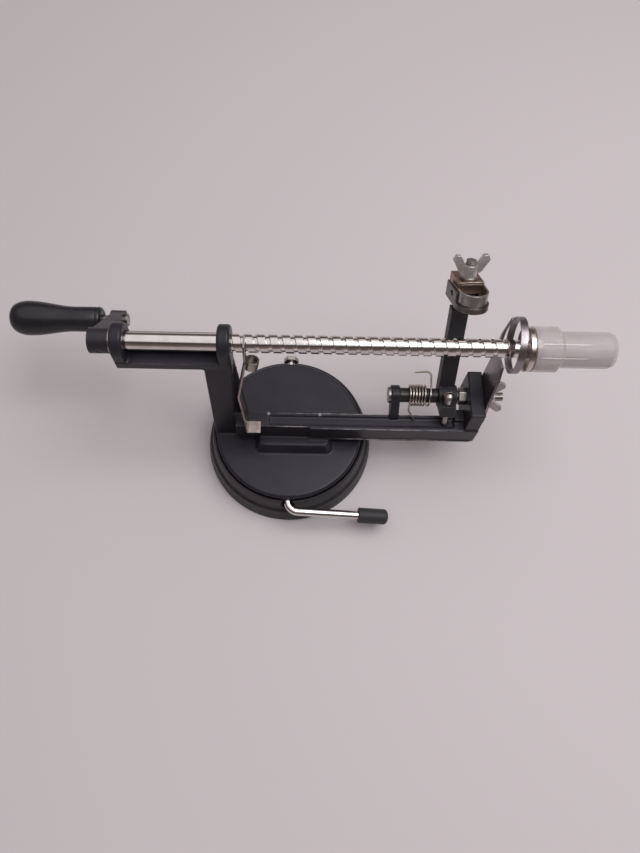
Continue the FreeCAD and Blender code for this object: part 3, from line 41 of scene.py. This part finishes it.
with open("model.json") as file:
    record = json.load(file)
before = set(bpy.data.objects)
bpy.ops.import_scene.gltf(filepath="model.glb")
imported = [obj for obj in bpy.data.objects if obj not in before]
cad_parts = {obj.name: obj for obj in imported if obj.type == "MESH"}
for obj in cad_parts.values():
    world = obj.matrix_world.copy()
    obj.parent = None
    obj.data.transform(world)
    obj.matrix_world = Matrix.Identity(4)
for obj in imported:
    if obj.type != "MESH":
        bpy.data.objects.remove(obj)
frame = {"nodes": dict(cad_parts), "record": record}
NODES = frame["nodes"]
BODY_OF = {node: body for body, nodes in frame["record"]["behaviour"]["bodies"].items()
           for node in nodes}
SLOT_OF = {row["node"]: row["material_slot"] for row in frame["record"]["subparts"]}
MM = 0.001
# The peeling arm, in millimetres: a point on its pivot's axis, the arm's lean about
# that axis, and the turn of the blade's clamp on the leaning arm.
ARM_PIVOT = Vector((0, 10, 51.5))
HEAD_LEAN = Matrix.Rotation(math.radians(-28.8), 3, "X")
HEAD_TURN = HEAD_LEAN @ Matrix.Rotation(math.radians(8), 3, "Z")
# How far under the base's underside the floor lies, in metres.
FLOOR_DROP = 0.0002


def linear(code):
    """Linear colour, with alpha, from an sRGB hex code."""
    parts = [int(code[i:i + 2], 16) / 255 for i in (0, 2, 4)]
    return tuple(c / 12.92 if c <= 0.04045 else ((c + 0.055) / 1.055) ** 2.4
                 for c in parts) + (1.0,)


def node(tree, kind, inputs=None, **settings):
    """Add one shader node; inputs maps a socket to a value or to another node's output."""
    item = tree.nodes.new("ShaderNode" + kind)
    for key, value in settings.items():
        setattr(item, key, value)
    for socket, value in (inputs or {}).items():
        if isinstance(value, bpy.types.NodeSocket):
            tree.links.new(value, item.inputs[socket])
        else:
            item.inputs[socket].default_value = value
    return item


def surface(name, colour, deep=None, mottle=9.0, rough=(0.3, 0.4), grain=0.5, height=0.02,
            stretch=(1, 1, 1), edge=None, round_edge=0.35, spots=None, **sockets):
    """A material of the kind every finish here needs, in millimetres.

    colour and deep are mixed by a cloud of mottle's size, which also moves the
    roughness; grain is the size of the bumps and height their depth; stretch draws
    them out along an axis; edge is the colour of worn edges; spots is a third
    colour in patches, with its reach from 0 to 1.
    """
    material = bpy.data.materials.new(name)
    material.use_nodes = True
    tree = material.node_tree
    shader = tree.nodes["Principled BSDF"]
    place = node(tree, "TexCoord").outputs["Object"]
    scaled = node(tree, "Mapping", {"Vector": place, "Scale": [1000 * s for s in stretch]})
    cloud = node(tree, "TexNoise", {"Vector": scaled.outputs[0], "Scale": 1 / mottle,
                                    "Detail": 5.0, "Roughness": 0.6}).outputs[0]
    roughness = node(tree, "MapRange", {"Value": cloud, "From Min": 0.3, "From Max": 0.7,
                                        "To Min": rough[0], "To Max": rough[1]})
    tint = node(tree, "Mix", {"A": linear(colour), "B": linear(deep or colour)},
                data_type="RGBA")
    share = node(tree, "MapRange", {"Value": cloud, "From Min": 0.35, "From Max": 0.65})
    tree.links.new(share.outputs[0], tint.inputs["Factor"])
    tinted = tint.outputs["Result"]
    bevel = node(tree, "Bevel", {"Radius": round_edge * MM}, samples=4)
    if spots:
        patch = node(tree, "TexNoise", {"Vector": scaled.outputs[0], "Scale": 0.7 / mottle,
                                        "Detail": 3.0}).outputs[0]
        reach = node(tree, "MapRange", {"Value": patch, "From Min": 0.75 - 0.4 * spots[1],
                                        "From Max": 0.85 - 0.4 * spots[1]})
        spotted = node(tree, "Mix", {"Factor": reach.outputs[0], "A": tinted,
                                     "B": linear(spots[0])}, data_type="RGBA")
        tinted = spotted.outputs["Result"]
    if edge:
        shape = node(tree, "NewGeometry").outputs["Normal"]
        turn = node(tree, "VectorMath", {0: bevel.outputs[0], 1: shape}, operation="DOT_PRODUCT")
        worn = node(tree, "MapRange", {"Value": turn.outputs["Value"], "From Min": 0.995,
                                       "From Max": 0.93, "To Max": 0.75})
        wear_and_painted_highlight = node(tree, "Math", {0: worn.outputs[0], 1: share.outputs[0]},
                      operation="MULTIPLY")
        edged = node(tree, "Mix", {"Factor": wear_and_painted_highlight.outputs[0], "A": tinted,
                                   "B": linear(edge)}, data_type="RGBA")
        tinted = edged.outputs["Result"]
    relief = node(tree, "TexNoise", {"Vector": scaled.outputs[0], "Scale": 1 / grain,
                                     "Detail": 3.0}).outputs[0]
    bump = node(tree, "Bump", {"Height": relief, "Distance": height * MM,
                               "Strength": 1.0, "Normal": bevel.outputs[0]})
    tree.links.new(tinted, shader.inputs["Base Color"])
    tree.links.new(roughness.outputs[0], shader.inputs["Roughness"])
    tree.links.new(bump.outputs[0], shader.inputs["Normal"])
    for socket, value in sockets.items():
        shader.inputs[socket.replace("_", " ")].default_value = value
    return material


def make_materials():
    """One material for each finish on the peeler, by the record's slots."""
    return {
        # Die casting under black satin powder coat: fine orange peel, edges rubbed pale.
        "black_casting": surface("powder_coated_die_casting", "25232a", "2c2930", 14,
                                 (0.30, 0.40), 0.7, 0.03, edge="8f898e", round_edge=0.5,
                                 Specular_IOR_Level=0.24),
        # A pale grey stroke along an edge, on the casting's raised lines: a painted highlight.
        "painted_highlight_casting": surface("coat_with_painted_edge_highlight", "aaa3a8", "4c474c", 5,
                                  (0.3, 0.45), 0.5, 0.03, Specular_IOR_Level=0.5),
        # The same coat on the forged crank arm.
        "black_crank": surface("powder_coated_crank", "262329", "2d292e", 10, (0.34, 0.46),
                               0.6, 0.03, edge="7d777a", round_edge=0.6,
                               Specular_IOR_Level=0.32),
        # Flat black paint on the peeling arm's bar stock.
        "black_arm": surface("black_paint_on_bar_stock", "29282c", "302e32", 8, (0.42, 0.55),
                             0.5, 0.03, edge="6c696b", round_edge=0.4,
                             Specular_IOR_Level=0.3),
        # Moulded rubber: dull, with a bloom of dust.
        "black_rubber": surface("moulded_natural_rubber", "232026", "2c292e", 7, (0.42, 0.55),
                                0.25, 0.02, Sheen_Weight=0.06, Sheen_Roughness=0.4,
                                Specular_IOR_Level=0.3),
        "lever_rubber": surface("dipped_rubber_cap", "2b292c", "333034", 3, (0.48, 0.6),
                                0.3, 0.03, Sheen_Weight=0.08, Specular_IOR_Level=0.3),
        "black_nylon": surface("black_nylon", "28272a", "2f2d31", 4, (0.4, 0.5), 0.3, 0.01,
                               Specular_IOR_Level=0.3),
        # Injection-moulded handle: smooth and softly glossy.
        "black_handle": surface("moulded_abs_handle", "211f24", "27252a", 16, (0.26, 0.34),
                                0.9, 0.012, Specular_IOR_Level=0.35),
        # Bright chrome plate over a cold-drawn rod.
        "chrome_rod": surface("chrome_plated_rod", "dcd8d8", "cfcaca", 5, (0.07, 0.13),
                              0.25, 0.003, Metallic=1.0),
        "chrome_screw": surface("chrome_plated_lead_screw", "dcd6d5", "d0c9c7", 7, (0.10, 0.16),
                                0.3, 0.004, Metallic=1.0),
        "tine_steel": surface("chrome_plated_tine", "e4e0e0", "d6d2d2", 5, (0.08, 0.14),
                              0.25, 0.003, Metallic=1.0),
        # Nickel plate on a turned collar: warm, with fine turning marks.
        "nickel_collar": surface("nickel_plated_collar", "d4cac2", "b7aba2", 5, (0.16, 0.28),
                                 0.25, 0.006, (6, 0.4, 0.4), Metallic=1.0,
                                 spots=("927c69", 0.3)),
        # Zinc plate: bluish grey and softly dull.
        "zinc_steel": surface("zinc_plated_steel", "aeaaa6", "8e8a86", 3, (0.25, 0.4),
                              0.3, 0.01, Metallic=1.0),
        "wing_nut_zinc": surface("zinc_plated_casting", "dedadb", "bdb9bb", 4, (0.42, 0.55),
                                 0.6, 0.04, edge="e6e2e2", Metallic=1.0, round_edge=0.6),
        "washer_steel": surface("rolled_steel_washer", "b6b1ad", "908a86", 3, (0.25, 0.4),
                                0.3, 0.01, Metallic=1.0),
        "axle_steel": surface("turned_steel", "a29d9a", "807b78", 3, (0.25, 0.38),
                              0.3, 0.01, Metallic=1.0),
        "dark_steel": surface("blackened_steel", "3b383a", "2d2b2d", 5, (0.3, 0.45),
                              0.4, 0.015, Metallic=0.6),
        # Spring steel, scratched and browned where it rubs.
        "latch_steel": surface("worn_spring_steel", "a79f9a", "847b77", 4, (0.28, 0.42),
                               0.5, 0.02, (1, 1, 0.25), Metallic=1.0, edge="d6cfca",
                               spots=("76625a", 0.5), round_edge=0.25),
        "spring_steel": surface("drawn_spring_wire", "d2c9c2", "a99f97", 3, (0.16, 0.28),
                                0.3, 0.008, Metallic=1.0),
        # Plated sheet with a bronze tint.
        "bracket_steel": surface("bronze_tinted_steel_sheet", "a48c7d", "8a7264", 4,
                                 (0.28, 0.45), 0.4, 0.02, (1, 1, 3), Metallic=1.0,
                                 edge="e6dcd2", spots=("c4b6aa", 0.3), round_edge=0.5),
        # The same sheet, pale and glossy along its fold: a painted highlight on the bend.
        "fold_painted_highlight": surface("sheet_with_painted_highlight_on_its_fold", "f1eae6", "d2c6be", 3,
                                 (0.16, 0.26), 0.4, 0.01, (1, 1, 3), Metallic=1.0),
        # Ground blade steel: lines along the strip.
        "blade_steel": surface("ground_blade_steel", "a9a5a4", "8c8786", 5, (0.24, 0.36),
                               0.25, 0.01, (0.2, 0.2, 4), Metallic=1.0, edge="d9d5d4"),
        "guard_steel": surface("dull_blade_steel", "7c7776", "686361", 4, (0.3, 0.45),
                               0.3, 0.01, (0.2, 0.2, 4), Metallic=1.0),
        "corer_steel": surface("dull_stainless_sheet", "a29a9e", "7f777c", 6, (0.26, 0.38),
                               0.3, 0.012, (1, 1, 0.2), Metallic=1.0, edge="d8d2d4"),
        # Frosted polypropylene: each wall lets most light through.
        "frosted_cap": surface("frosted_polypropylene", "ccc2c3", "c4babb", 8, (0.35, 0.45),
                               0.6, 0.01, Alpha=0.46),
    }


MATERIALS = {}


def coat(obj, slot):
    """Give an object its slot's material."""
    obj.data.materials.clear()
    obj.data.materials.append(MATERIALS[slot])


def piece_from(node_name, piece_name):
    """A copy of a CAD node's mesh, its seams welded and its flat faces whole."""
    mesh = NODES[node_name].data.copy()
    mesh.name = piece_name
    piece = bpy.data.objects.new(piece_name, mesh)
    bpy.context.scene.collection.objects.link(piece)
    shape = bmesh.new()
    shape.from_mesh(mesh)
    bmesh.ops.remove_doubles(shape, verts=shape.verts, dist=1e-6)
    bmesh.ops.dissolve_limit(shape, angle_limit=math.radians(1), verts=shape.verts,
                             edges=shape.edges)
    shape.to_mesh(mesh)
    shape.free()
    if "custom_normal" in mesh.attributes:
        mesh.attributes.remove(mesh.attributes["custom_normal"])
    mesh.shade_smooth()
    return piece


def mesh_piece(name, points, faces):
    """A new object from points in millimetres and faces, its seams welded."""
    mesh = bpy.data.meshes.new(name)
    mesh.from_pydata([Vector(point) * MM for point in points], [], faces)
    shape = bmesh.new()
    shape.from_mesh(mesh)
    bmesh.ops.remove_doubles(shape, verts=shape.verts, dist=1e-6)
    bmesh.ops.recalc_face_normals(shape, faces=shape.faces)
    shape.to_mesh(mesh)
    shape.free()
    mesh.shade_smooth()
    piece = bpy.data.objects.new(name, mesh)
    bpy.context.scene.collection.objects.link(piece)
    return piece


def lathe(name, start, way, loop, sides=64):
    """Turn a closed loop of (distance along way, radius) about the line from start."""
    start, way = Vector(start), Vector(way).normalized()
    side = way.orthogonal().normalized()
    over = way.cross(side)
    points, faces = [], []
    for step in range(sides):
        angle = math.tau * step / sides
        out = side * math.cos(angle) + over * math.sin(angle)
        points += [start + way * along + out * radius for along, radius in loop]
    count = len(loop)
    for step in range(sides):
        here, there = step * count, (step + 1) % sides * count
        for spot in range(count):
            after = (spot + 1) % count
            if loop[spot][1] > 0 or loop[after][1] > 0:
                faces.append((here + spot, here + after, there + after, there + spot))
    return mesh_piece(name, points, faces)


def sweep(name, path, section):
    """Carry a closed section along a path of (point, across, up), with flat ends."""
    points = [spot + across * flat + up * tall
              for spot, across, up in path for flat, tall in section]
    count, last = len(section), len(path) - 1
    faces = [(row * count + i, row * count + (i + 1) % count,
              (row + 1) * count + (i + 1) % count, (row + 1) * count + i)
             for row in range(last) for i in range(count)]
    faces += [tuple(range(count)), tuple(last * count + i for i in range(count))]
    return mesh_piece(name, points, faces)


def thread_on(name, node_name, start, way, length, radius, height, pitch):
    """The helical ridge of a screw thread on a plain rod, tapering away at both ends."""
    start, way = Vector(start), Vector(way).normalized()
    side = way.orthogonal().normalized()
    over = way.cross(side)
    steps_a_turn, fade_steps, sunk = 24, 8, 0.1
    root, crest = 0.48 * pitch, 0.08 * pitch
    steps = int(length / pitch * steps_a_turn)
    points, faces = [], []
    for step in range(steps + 1):
        angle = math.tau * step / steps_a_turn
        out = side * math.cos(angle) + over * math.sin(angle)
        tall = height * min(1, step / fade_steps, (steps - step) / fade_steps)
        spot = start + way * (pitch / 2 + (length - pitch) * step / steps)
        foot, top = spot + out * (radius - sunk), spot + out * (radius + tall)
        points += [foot - way * root, top - way * crest, top + way * crest, foot + way * root]
    for step in range(steps):
        for i in range(4):
            j = (i + 1) % 4
            faces.append((4 * step + i, 4 * step + j, 4 * step + 4 + j, 4 * step + 4 + i))
    faces += [(0, 1, 2, 3), tuple(4 * steps + i for i in range(4))]
    join_body(mesh_piece(name, points, faces), node_name)


def on_arm(x, y, z):
    """A point given in millimetres on the upright arm, where the arm's lean carries it."""
    return ARM_PIVOT + HEAD_LEAN @ Vector((x, y, z))


def join_body(piece, node_name):
    """Let a piece that hides nothing ride with a CAD node's body."""
    slot = SLOT_OF[node_name]
    coat(piece, slot)
    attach(piece, BODY_OF[node_name])


def settle(piece):
    """Apply every modifier of a piece."""
    bpy.context.view_layer.update()
    graph = bpy.context.evaluated_depsgraph_get()
    mesh = bpy.data.meshes.new_from_object(piece.evaluated_get(graph))
    piece.modifiers.clear()
    piece.data = mesh


def dress(piece, *nodes):
    """Let a piece stand for CAD nodes: material, body and slot."""
    slot = SLOT_OF[nodes[0]]
    coat(piece, slot)
    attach(piece, BODY_OF[nodes[0]])
    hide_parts(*nodes)


def cast_copy(node_name, piece_name, voxel, rounds):
    """A CAD node remeshed and smoothed, which rounds its edges and fills its corners."""
    piece = piece_from(node_name, piece_name)
    remesh = piece.modifiers.new("skin", "REMESH")
    remesh.mode = "VOXEL"
    remesh.voxel_size = voxel * MM
    smooth = piece.modifiers.new("soften", "SMOOTH")
    smooth.factor = 0.5
    smooth.iterations = rounds
    settle(piece)
    piece.data.shade_smooth()
    dress(piece, node_name)


def broken_edge_copy(node_name, piece_name, width, angle=35):
    """A CAD node with its sharp edges rounded to a width in millimetres."""
    piece = piece_from(node_name, piece_name)
    bevel = piece.modifiers.new("edges", "BEVEL")
    bevel.width = width * MM
    bevel.segments = 2
    bevel.limit_method = "ANGLE"
    bevel.angle_limit = math.radians(angle)
    bevel.harden_normals = True
    piece.modifiers.new("faces", "WEIGHTED_NORMAL").keep_sharp = True
    settle(piece)
    dress(piece, node_name)


class PeelerSizes(bpy.types.PropertyGroup):
    """Sizes and colours that a user would change."""
    cast_voxel: bpy.props.FloatProperty(
        name="Casting grain", description="Mesh size of the softened casting, in millimetres",
        default=0.45, min=0.3, max=2.0)
    floor_colour: bpy.props.FloatVectorProperty(
        name="Floor colour", description="Colour of the plain floor", subtype="COLOR", size=4,
        default=linear("c6bec1"))
    key_power: bpy.props.FloatProperty(
        name="Key light", description="Power of the soft key light", unit="POWER",
        default=6.5)
    key_wide: bpy.props.FloatProperty(
        name="Key width", description="Side of the key light's square", unit="LENGTH",
        default=0.75)


class PEELER_OT_stage(bpy.types.Operator):
    """Floor, light and camera"""
    bl_idname = "peeler.stage"
    bl_label = "Stage"

    def execute(self, context):
        sizes = context.scene.peeler
        mesh = bpy.data.meshes.new("floor")
        reach = 4.0
        mesh.from_pydata([(-reach, -reach, 0), (reach, -reach, 0), (reach, reach, 0),
                          (-reach, reach, 0)], [], [(0, 1, 2, 3)])
        floor = bpy.data.objects.new("floor", mesh)
        floor.location.z = -FLOOR_DROP
        context.scene.collection.objects.link(floor)
        paper = bpy.data.materials.new("plain_pale_floor")
        paper.use_nodes = True
        shader = paper.node_tree.nodes["Principled BSDF"]
        shader.inputs["Base Color"].default_value = sizes.floor_colour
        shader.inputs["Roughness"].default_value = 0.85
        shader.inputs["Specular IOR Level"].default_value = 0.2
        mesh.materials.append(paper)
        self.light(context, sizes)
        self.camera(context)
        context.scene.view_settings.view_transform = "Standard"
        return {"FINISHED"}

    def light(self, context, sizes):
        """A bright opening overhead in a dark brown room, and a wide soft lamp in it."""
        world = bpy.data.worlds.new("room")
        context.scene.world = world
        world.use_nodes = True
        tree = world.node_tree
        place = node(tree, "TexCoord").outputs["Generated"]
        lean, outer, inner = (math.radians(angle) for angle in (8, 52, 37))
        facing = node(tree, "VectorMath", {0: place, 1: (0, math.sin(lean), math.cos(lean))},
                      operation="DOT_PRODUCT").outputs["Value"]
        opening = node(tree, "MapRange", {"Value": facing, "From Min": math.cos(outer),
                                          "From Max": math.cos(inner)},
                       interpolation_type="SMOOTHSTEP")
        height = node(tree, "SeparateXYZ", {0: place}).outputs["Z"]
        level = node(tree, "MapRange", {"Value": height, "From Min": 0.05, "From Max": 0.6})
        walls = node(tree, "Mix", {"Factor": level.outputs[0], "A": linear("7a6c68"),
                                   "B": linear("4d4644")}, data_type="RGBA")
        room = node(tree, "Mix", {"Factor": opening.outputs[0], "A": walls.outputs["Result"],
                                  "B": linear("fbf8f8")}, data_type="RGBA")
        rays = node(tree, "LightPath")
        seen = node(tree, "Mix", {"Factor": rays.outputs["Is Camera Ray"],
                                  "A": room.outputs["Result"], "B": sizes.floor_colour},
                    data_type="RGBA")
        back = tree.nodes["Background"]
        tree.links.new(seen.outputs["Result"], back.inputs["Color"])
        lamp = bpy.data.lights.new("key", "AREA")
        lamp.shape = "RECTANGLE"
        lamp.size = lamp.size_y = sizes.key_wide
        lamp.energy = sizes.key_power
        key = bpy.data.objects.new("key", lamp)
        key.location = (0.40, 0.02, 0.98)
        aim = Vector((0.03, 0.0, 0.05)) - key.location
        key.rotation_euler = aim.to_track_quat("-Z", "Y").to_euler()
        context.scene.collection.objects.link(key)

    def camera(self, context):
        """The photograph's camera: above and in front, almost looking straight down."""
        place = Vector((8.9, -148.6, 382.8)) * MM
        picture_px, focal_px, sensor_mm = 640, 649.3, 36.0
        tilt, roll, turn = (math.radians(angle) for angle in (22.7, -4.33, 3.6))
        across = Vector((math.cos(turn), -math.sin(turn), 0))
        away = Vector((math.sin(turn), math.cos(turn), 0))
        ahead = math.sin(tilt) * away - math.cos(tilt) * Vector((0, 0, 1))
        down = ahead.cross(across)
        right = math.cos(roll) * across + math.sin(roll) * down
        low = -math.sin(roll) * across + math.cos(roll) * down
        lens = bpy.data.cameras.new("camera")
        lens.sensor_fit = "HORIZONTAL"
        lens.sensor_width = sensor_mm
        lens.lens = sensor_mm * focal_px / picture_px
        lens.clip_start = 0.01
        camera = bpy.data.objects.new("camera", lens)
        turned = Matrix((right, -low, -ahead)).transposed().to_4x4()
        camera.matrix_world = Matrix.Translation(place) @ turned
        context.scene.collection.objects.link(camera)
        context.scene.camera = camera


class PEELER_OT_finishes(bpy.types.Operator):
    """A finish on every CAD piece"""
    bl_idname = "peeler.finishes"
    bl_label = "Finishes"

    def execute(self, context):
        MATERIALS.update(make_materials())
        for name, obj in NODES.items():
            coat(obj, SLOT_OF[name])
        return {"FINISHED"}


class PEELER_OT_casting(bpy.types.Operator):
    """The stand's casting, its edges and corners softened"""
    bl_idname = "peeler.casting"
    bl_label = "Casting"

    def execute(self, context):
        grain = context.scene.peeler.cast_voxel
        cast_copy("frame_casting", "cast_stand", grain, rounds=2)
        return {"FINISHED"}


class PEELER_OT_grip(bpy.types.Operator):
    """The crank's moulded grip, turned with an even swell, on its axle's bore"""
    bl_idname = "peeler.grip"
    bl_label = "Grip"

    def execute(self, context):
        start, way, sides = (-106.0, 48.2, 63.0), (-1, 0, 0), 96
        long, neck, bulb = 51.0, 7.1, 9.7
        bore, bore_end = 2.75, 38.2
        waist = neck - 0.1
        loop = [(bore_end, 0), (bore_end, bore), (0, bore), (0, neck - 1.5),
                (0.25, neck - 1.0), (0.8, neck - 0.35), (1.7, neck), (2.6, neck - 0.02),
                (2.75, waist), (3.05, waist), (3.2, neck - 0.02)]
        # Shares of the length: where the swell starts, what it takes, and the dome's part.
        swell_start, swell_part, dome_part = 0.3, 0.5, 0.2
        swell_steps, dome_steps, bluntness = 24, 16, 0.55
        for step in range(swell_steps + 1):
            share = step / swell_steps
            swell = (1 - math.cos(math.pi * share)) / 2
            loop.append((long * (swell_start + swell_part * share),
                         waist + (bulb - waist) * swell))
        for step in range(1, dome_steps + 1):
            turn = math.pi / 2 * step / dome_steps
            loop.append((long * (swell_start + swell_part + dome_part * math.sin(turn)),
                         bulb * max(0.0, math.cos(turn)) ** bluntness))
        piece = lathe("moulded_grip", start, way, loop, sides)
        dress(piece, "handle_grip")
        return {"FINISHED"}


class PEELER_OT_spring(bpy.types.Operator):
    """The torsion spring in round wire"""
    bl_idname = "peeler.spring"
    bl_label = "Spring"

    def execute(self, context):
        piece = piece_from("torsion_spring", "round_wire_spring")
        piece.modifiers.new("round", "SUBSURF").levels = 1
        settle(piece)
        dress(piece, "torsion_spring")
        return {"FINISHED"}


class PEELER_OT_rubber(bpy.types.Operator):
    """The suction cup and the lever's cap, their moulded edges softened"""
    bl_idname = "peeler.rubber"
    bl_label = "Rubber parts"

    def execute(self, context):
        broken_edge_copy("suction_cup", "moulded_cup", 0.6, 30)
        broken_edge_copy("lever_grip", "dipped_cap", 0.7, 30)
        return {"FINISHED"}


class PEELER_OT_bars(bpy.types.Operator):
    """Crank arm and peeling arm with broken edges"""
    bl_idname = "peeler.bars"
    bl_label = "Crank and arm"

    def execute(self, context):
        broken_edge_copy("crank_arm", "forged_crank", 0.7)
        broken_edge_copy("peeling_arm", "bar_arm", 0.35)
        return {"FINISHED"}


class PEELER_OT_sheet(bpy.types.Operator):
    """Bracket, blades, guard and latch: sheet metal with its burr broken"""
    bl_idname = "peeler.sheet"
    bl_label = "Sheet metal"

    def execute(self, context):
        broken_edge_copy("clamp_bracket", "folded_bracket", 0.4)
        self.front_lip()
        broken_edge_copy("coring_blade", "pressed_coring_blade", 0.15)
        broken_edge_copy("depth_guard", "pressed_guard", 0.15)
        broken_edge_copy("peeling_blade", "ground_blade", 0.12)
        broken_edge_copy("quick_release_latch", "bent_latch", 0.2)
        return {"FINISHED"}

    def front_lip(self):
        """The bracket's lip, folded down in front of its top, with a painted highlight on the
        bend.
        """
        lip = [(-3.6, 71.08), (-4.5, 71.06), (-5.2, 70.8), (-5.7, 70.2), (-5.9, 69.4),
               (-5.9, 65.3), (-5.7, 65.0), (-4.95, 65.0), (-4.8, 65.3), (-4.8, 69.2),
               (-4.5, 69.8), (-3.6, 70.0)]
        foot = on_arm(90.2, 3.1, 0)
        path = [(foot + HEAD_TURN @ Vector((x, 0, 0)), HEAD_TURN @ Vector((0, 1, 0)),
                 HEAD_TURN @ Vector((0, 0, 1))) for x in (-5.3, -5.1, 0, 5.1, 5.3)]
        flap = sweep("bracket_front_lip", path, lip)
        flap.modifiers.new("normals", "WEIGHTED_NORMAL")
        settle(flap)
        join_body(flap, "clamp_bracket")
        flap.data.materials.append(MATERIALS["fold_painted_highlight"])
        # The faces on the bend take the pale material: a painted highlight.
        bend_faces = 4
        for face in flap.data.polygons[:len(lip) * (len(path) - 1)]:
            if face.index % len(lip) < bend_faces:
                face.material_index = 1


class PEELER_OT_nuts(bpy.types.Operator):
    """Both wing nuts, rounded as castings, and the small nuts"""
    bl_idname = "peeler.nuts"
    bl_label = "Nuts"

    def execute(self, context):
        broken_edge_copy("clamp_wing_nut", "cast_wing_nut_top", 0.45, 28)
        broken_edge_copy("blade_wing_nut", "cast_wing_nut_side", 0.45, 28)
        broken_edge_copy("lever_nut", "chamfered_lever_nut", 0.3)
        broken_edge_copy("pivot_lock_nut", "chamfered_lock_nut", 0.35)
        return {"FINISHED"}


class PEELER_OT_threads(bpy.types.Operator):
    """The threads that show on the screws' free lengths"""
    bl_idname = "peeler.threads"
    bl_label = "Threads"

    def execute(self, context):
        up = HEAD_LEAN @ Vector((0, 0, 1))
        thread_on("stop_screw_thread", "stop_screw", on_arm(88.5, -8.35, 0.85), up,
                  length=4.3, radius=2.0, height=0.3, pitch=0.85)
        thread_on("clamp_stud_thread", "clamp_stud", on_arm(90.2, 3.1, 78.2), up,
                  length=1.9, radius=2.5, height=0.12, pitch=0.8)
        return {"FINISHED"}


class PEELER_OT_flash(bpy.types.Operator):
    """The casting's parting line along the rail, with two pips"""
    bl_idname = "peeler.flash"
    bl_label = "Parting line"

    def execute(self, context):
        edge, foot = 43.8, 30.4
        # Each line: where it starts and ends along the rail, and its y and z.
        lines = {"rear": (-13, 94, 0.75, edge), "front_left": (-9, 11, -7.45, edge),
                 "front_right": (13, 103, -8.45, edge), "foot": (13, 105, -8.95, foot)}
        # Each line is a raised bead, painted pale grey as a highlight.
        for name, line in lines.items():
            self.parting_line("rail_parting_line_" + name, *line)
        dome = [(0, 0), (0, 1.15), (0.45, 1.05), (0.7, 0.65), (0.78, 0)]
        for number, x in enumerate((-11.6, 17.6)):
            pip = lathe("rail_pip_%d" % number, (x, 0.2, 43.9), (0, 0, 1), dome, 20)
            self.wear_and_painted_highlight(pip)
        return {"FINISHED"}

    def parting_line(self, name, low, high, y, z):
        """A low uneven bead along the rail, thinning out over a quarter at each end."""
        across, up = Vector((0, 1, 0)), Vector((0, 0, 1))
        bead = [(-1, -0.5), (-0.7, 0.3), (0, 0.62), (0.7, 0.3), (1, -0.5)]
        stride, waviness, half_wide, uneven, thinnest = 1.3, 0.35, 0.27, 0.13, 0.3
        path = []
        steps = int((high - low) / stride)
        for step in range(steps + 1):
            x = low + (high - low) * step / steps
            wander = noise.noise(Vector((x * waviness, y, z)))
            thick = min(1, 4 * step / steps, 4 * (steps - step) / steps)
            size = (half_wide + uneven * wander) * (thinnest + (1 - thinnest) * thick)
            path.append((Vector((x, y + 0.05 * wander, z)), across * size, up * 2 * size))
        self.wear_and_painted_highlight(sweep(name, path, bead))

    def wear_and_painted_highlight(self, piece):
        """A raised line of the casting, coloured pale grey: a painted highlight."""
        join_body(piece, "frame_casting")
        # The pale grey material here is a painted highlight.
        piece.data.materials[0] = MATERIALS["painted_highlight_casting"]


class PEELER_PT_panel(bpy.types.Panel):
    """The peeler's pieces and sizes"""
    bl_label = "Apple peeler"
    bl_idname = "PEELER_PT_panel"
    bl_space_type = "VIEW_3D"
    bl_region_type = "UI"
    bl_category = "Peeler"

    def draw(self, context):
        for group in OPERATORS:
            self.layout.operator(group.bl_idname)
        for name in PeelerSizes.__annotations__:
            self.layout.prop(context.scene.peeler, name)


OPERATORS = (PEELER_OT_stage, PEELER_OT_finishes, PEELER_OT_casting, PEELER_OT_grip,
             PEELER_OT_spring, PEELER_OT_rubber, PEELER_OT_bars, PEELER_OT_sheet,
             PEELER_OT_nuts, PEELER_OT_threads, PEELER_OT_flash)
CLASSES = (PeelerSizes,) + OPERATORS + (PEELER_PT_panel,)


def register():
    for item in CLASSES:
        bpy.utils.register_class(item)
    bpy.types.Scene.peeler = bpy.props.PointerProperty(type=PeelerSizes)


def unregister():
    del bpy.types.Scene.peeler
    for item in reversed(CLASSES):
        bpy.utils.unregister_class(item)


def main():
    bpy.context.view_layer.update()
    register()
    for group in OPERATORS:
        getattr(bpy.ops.peeler, group.bl_idname.split(".")[1])()


if __name__ == "__main__":
    main()
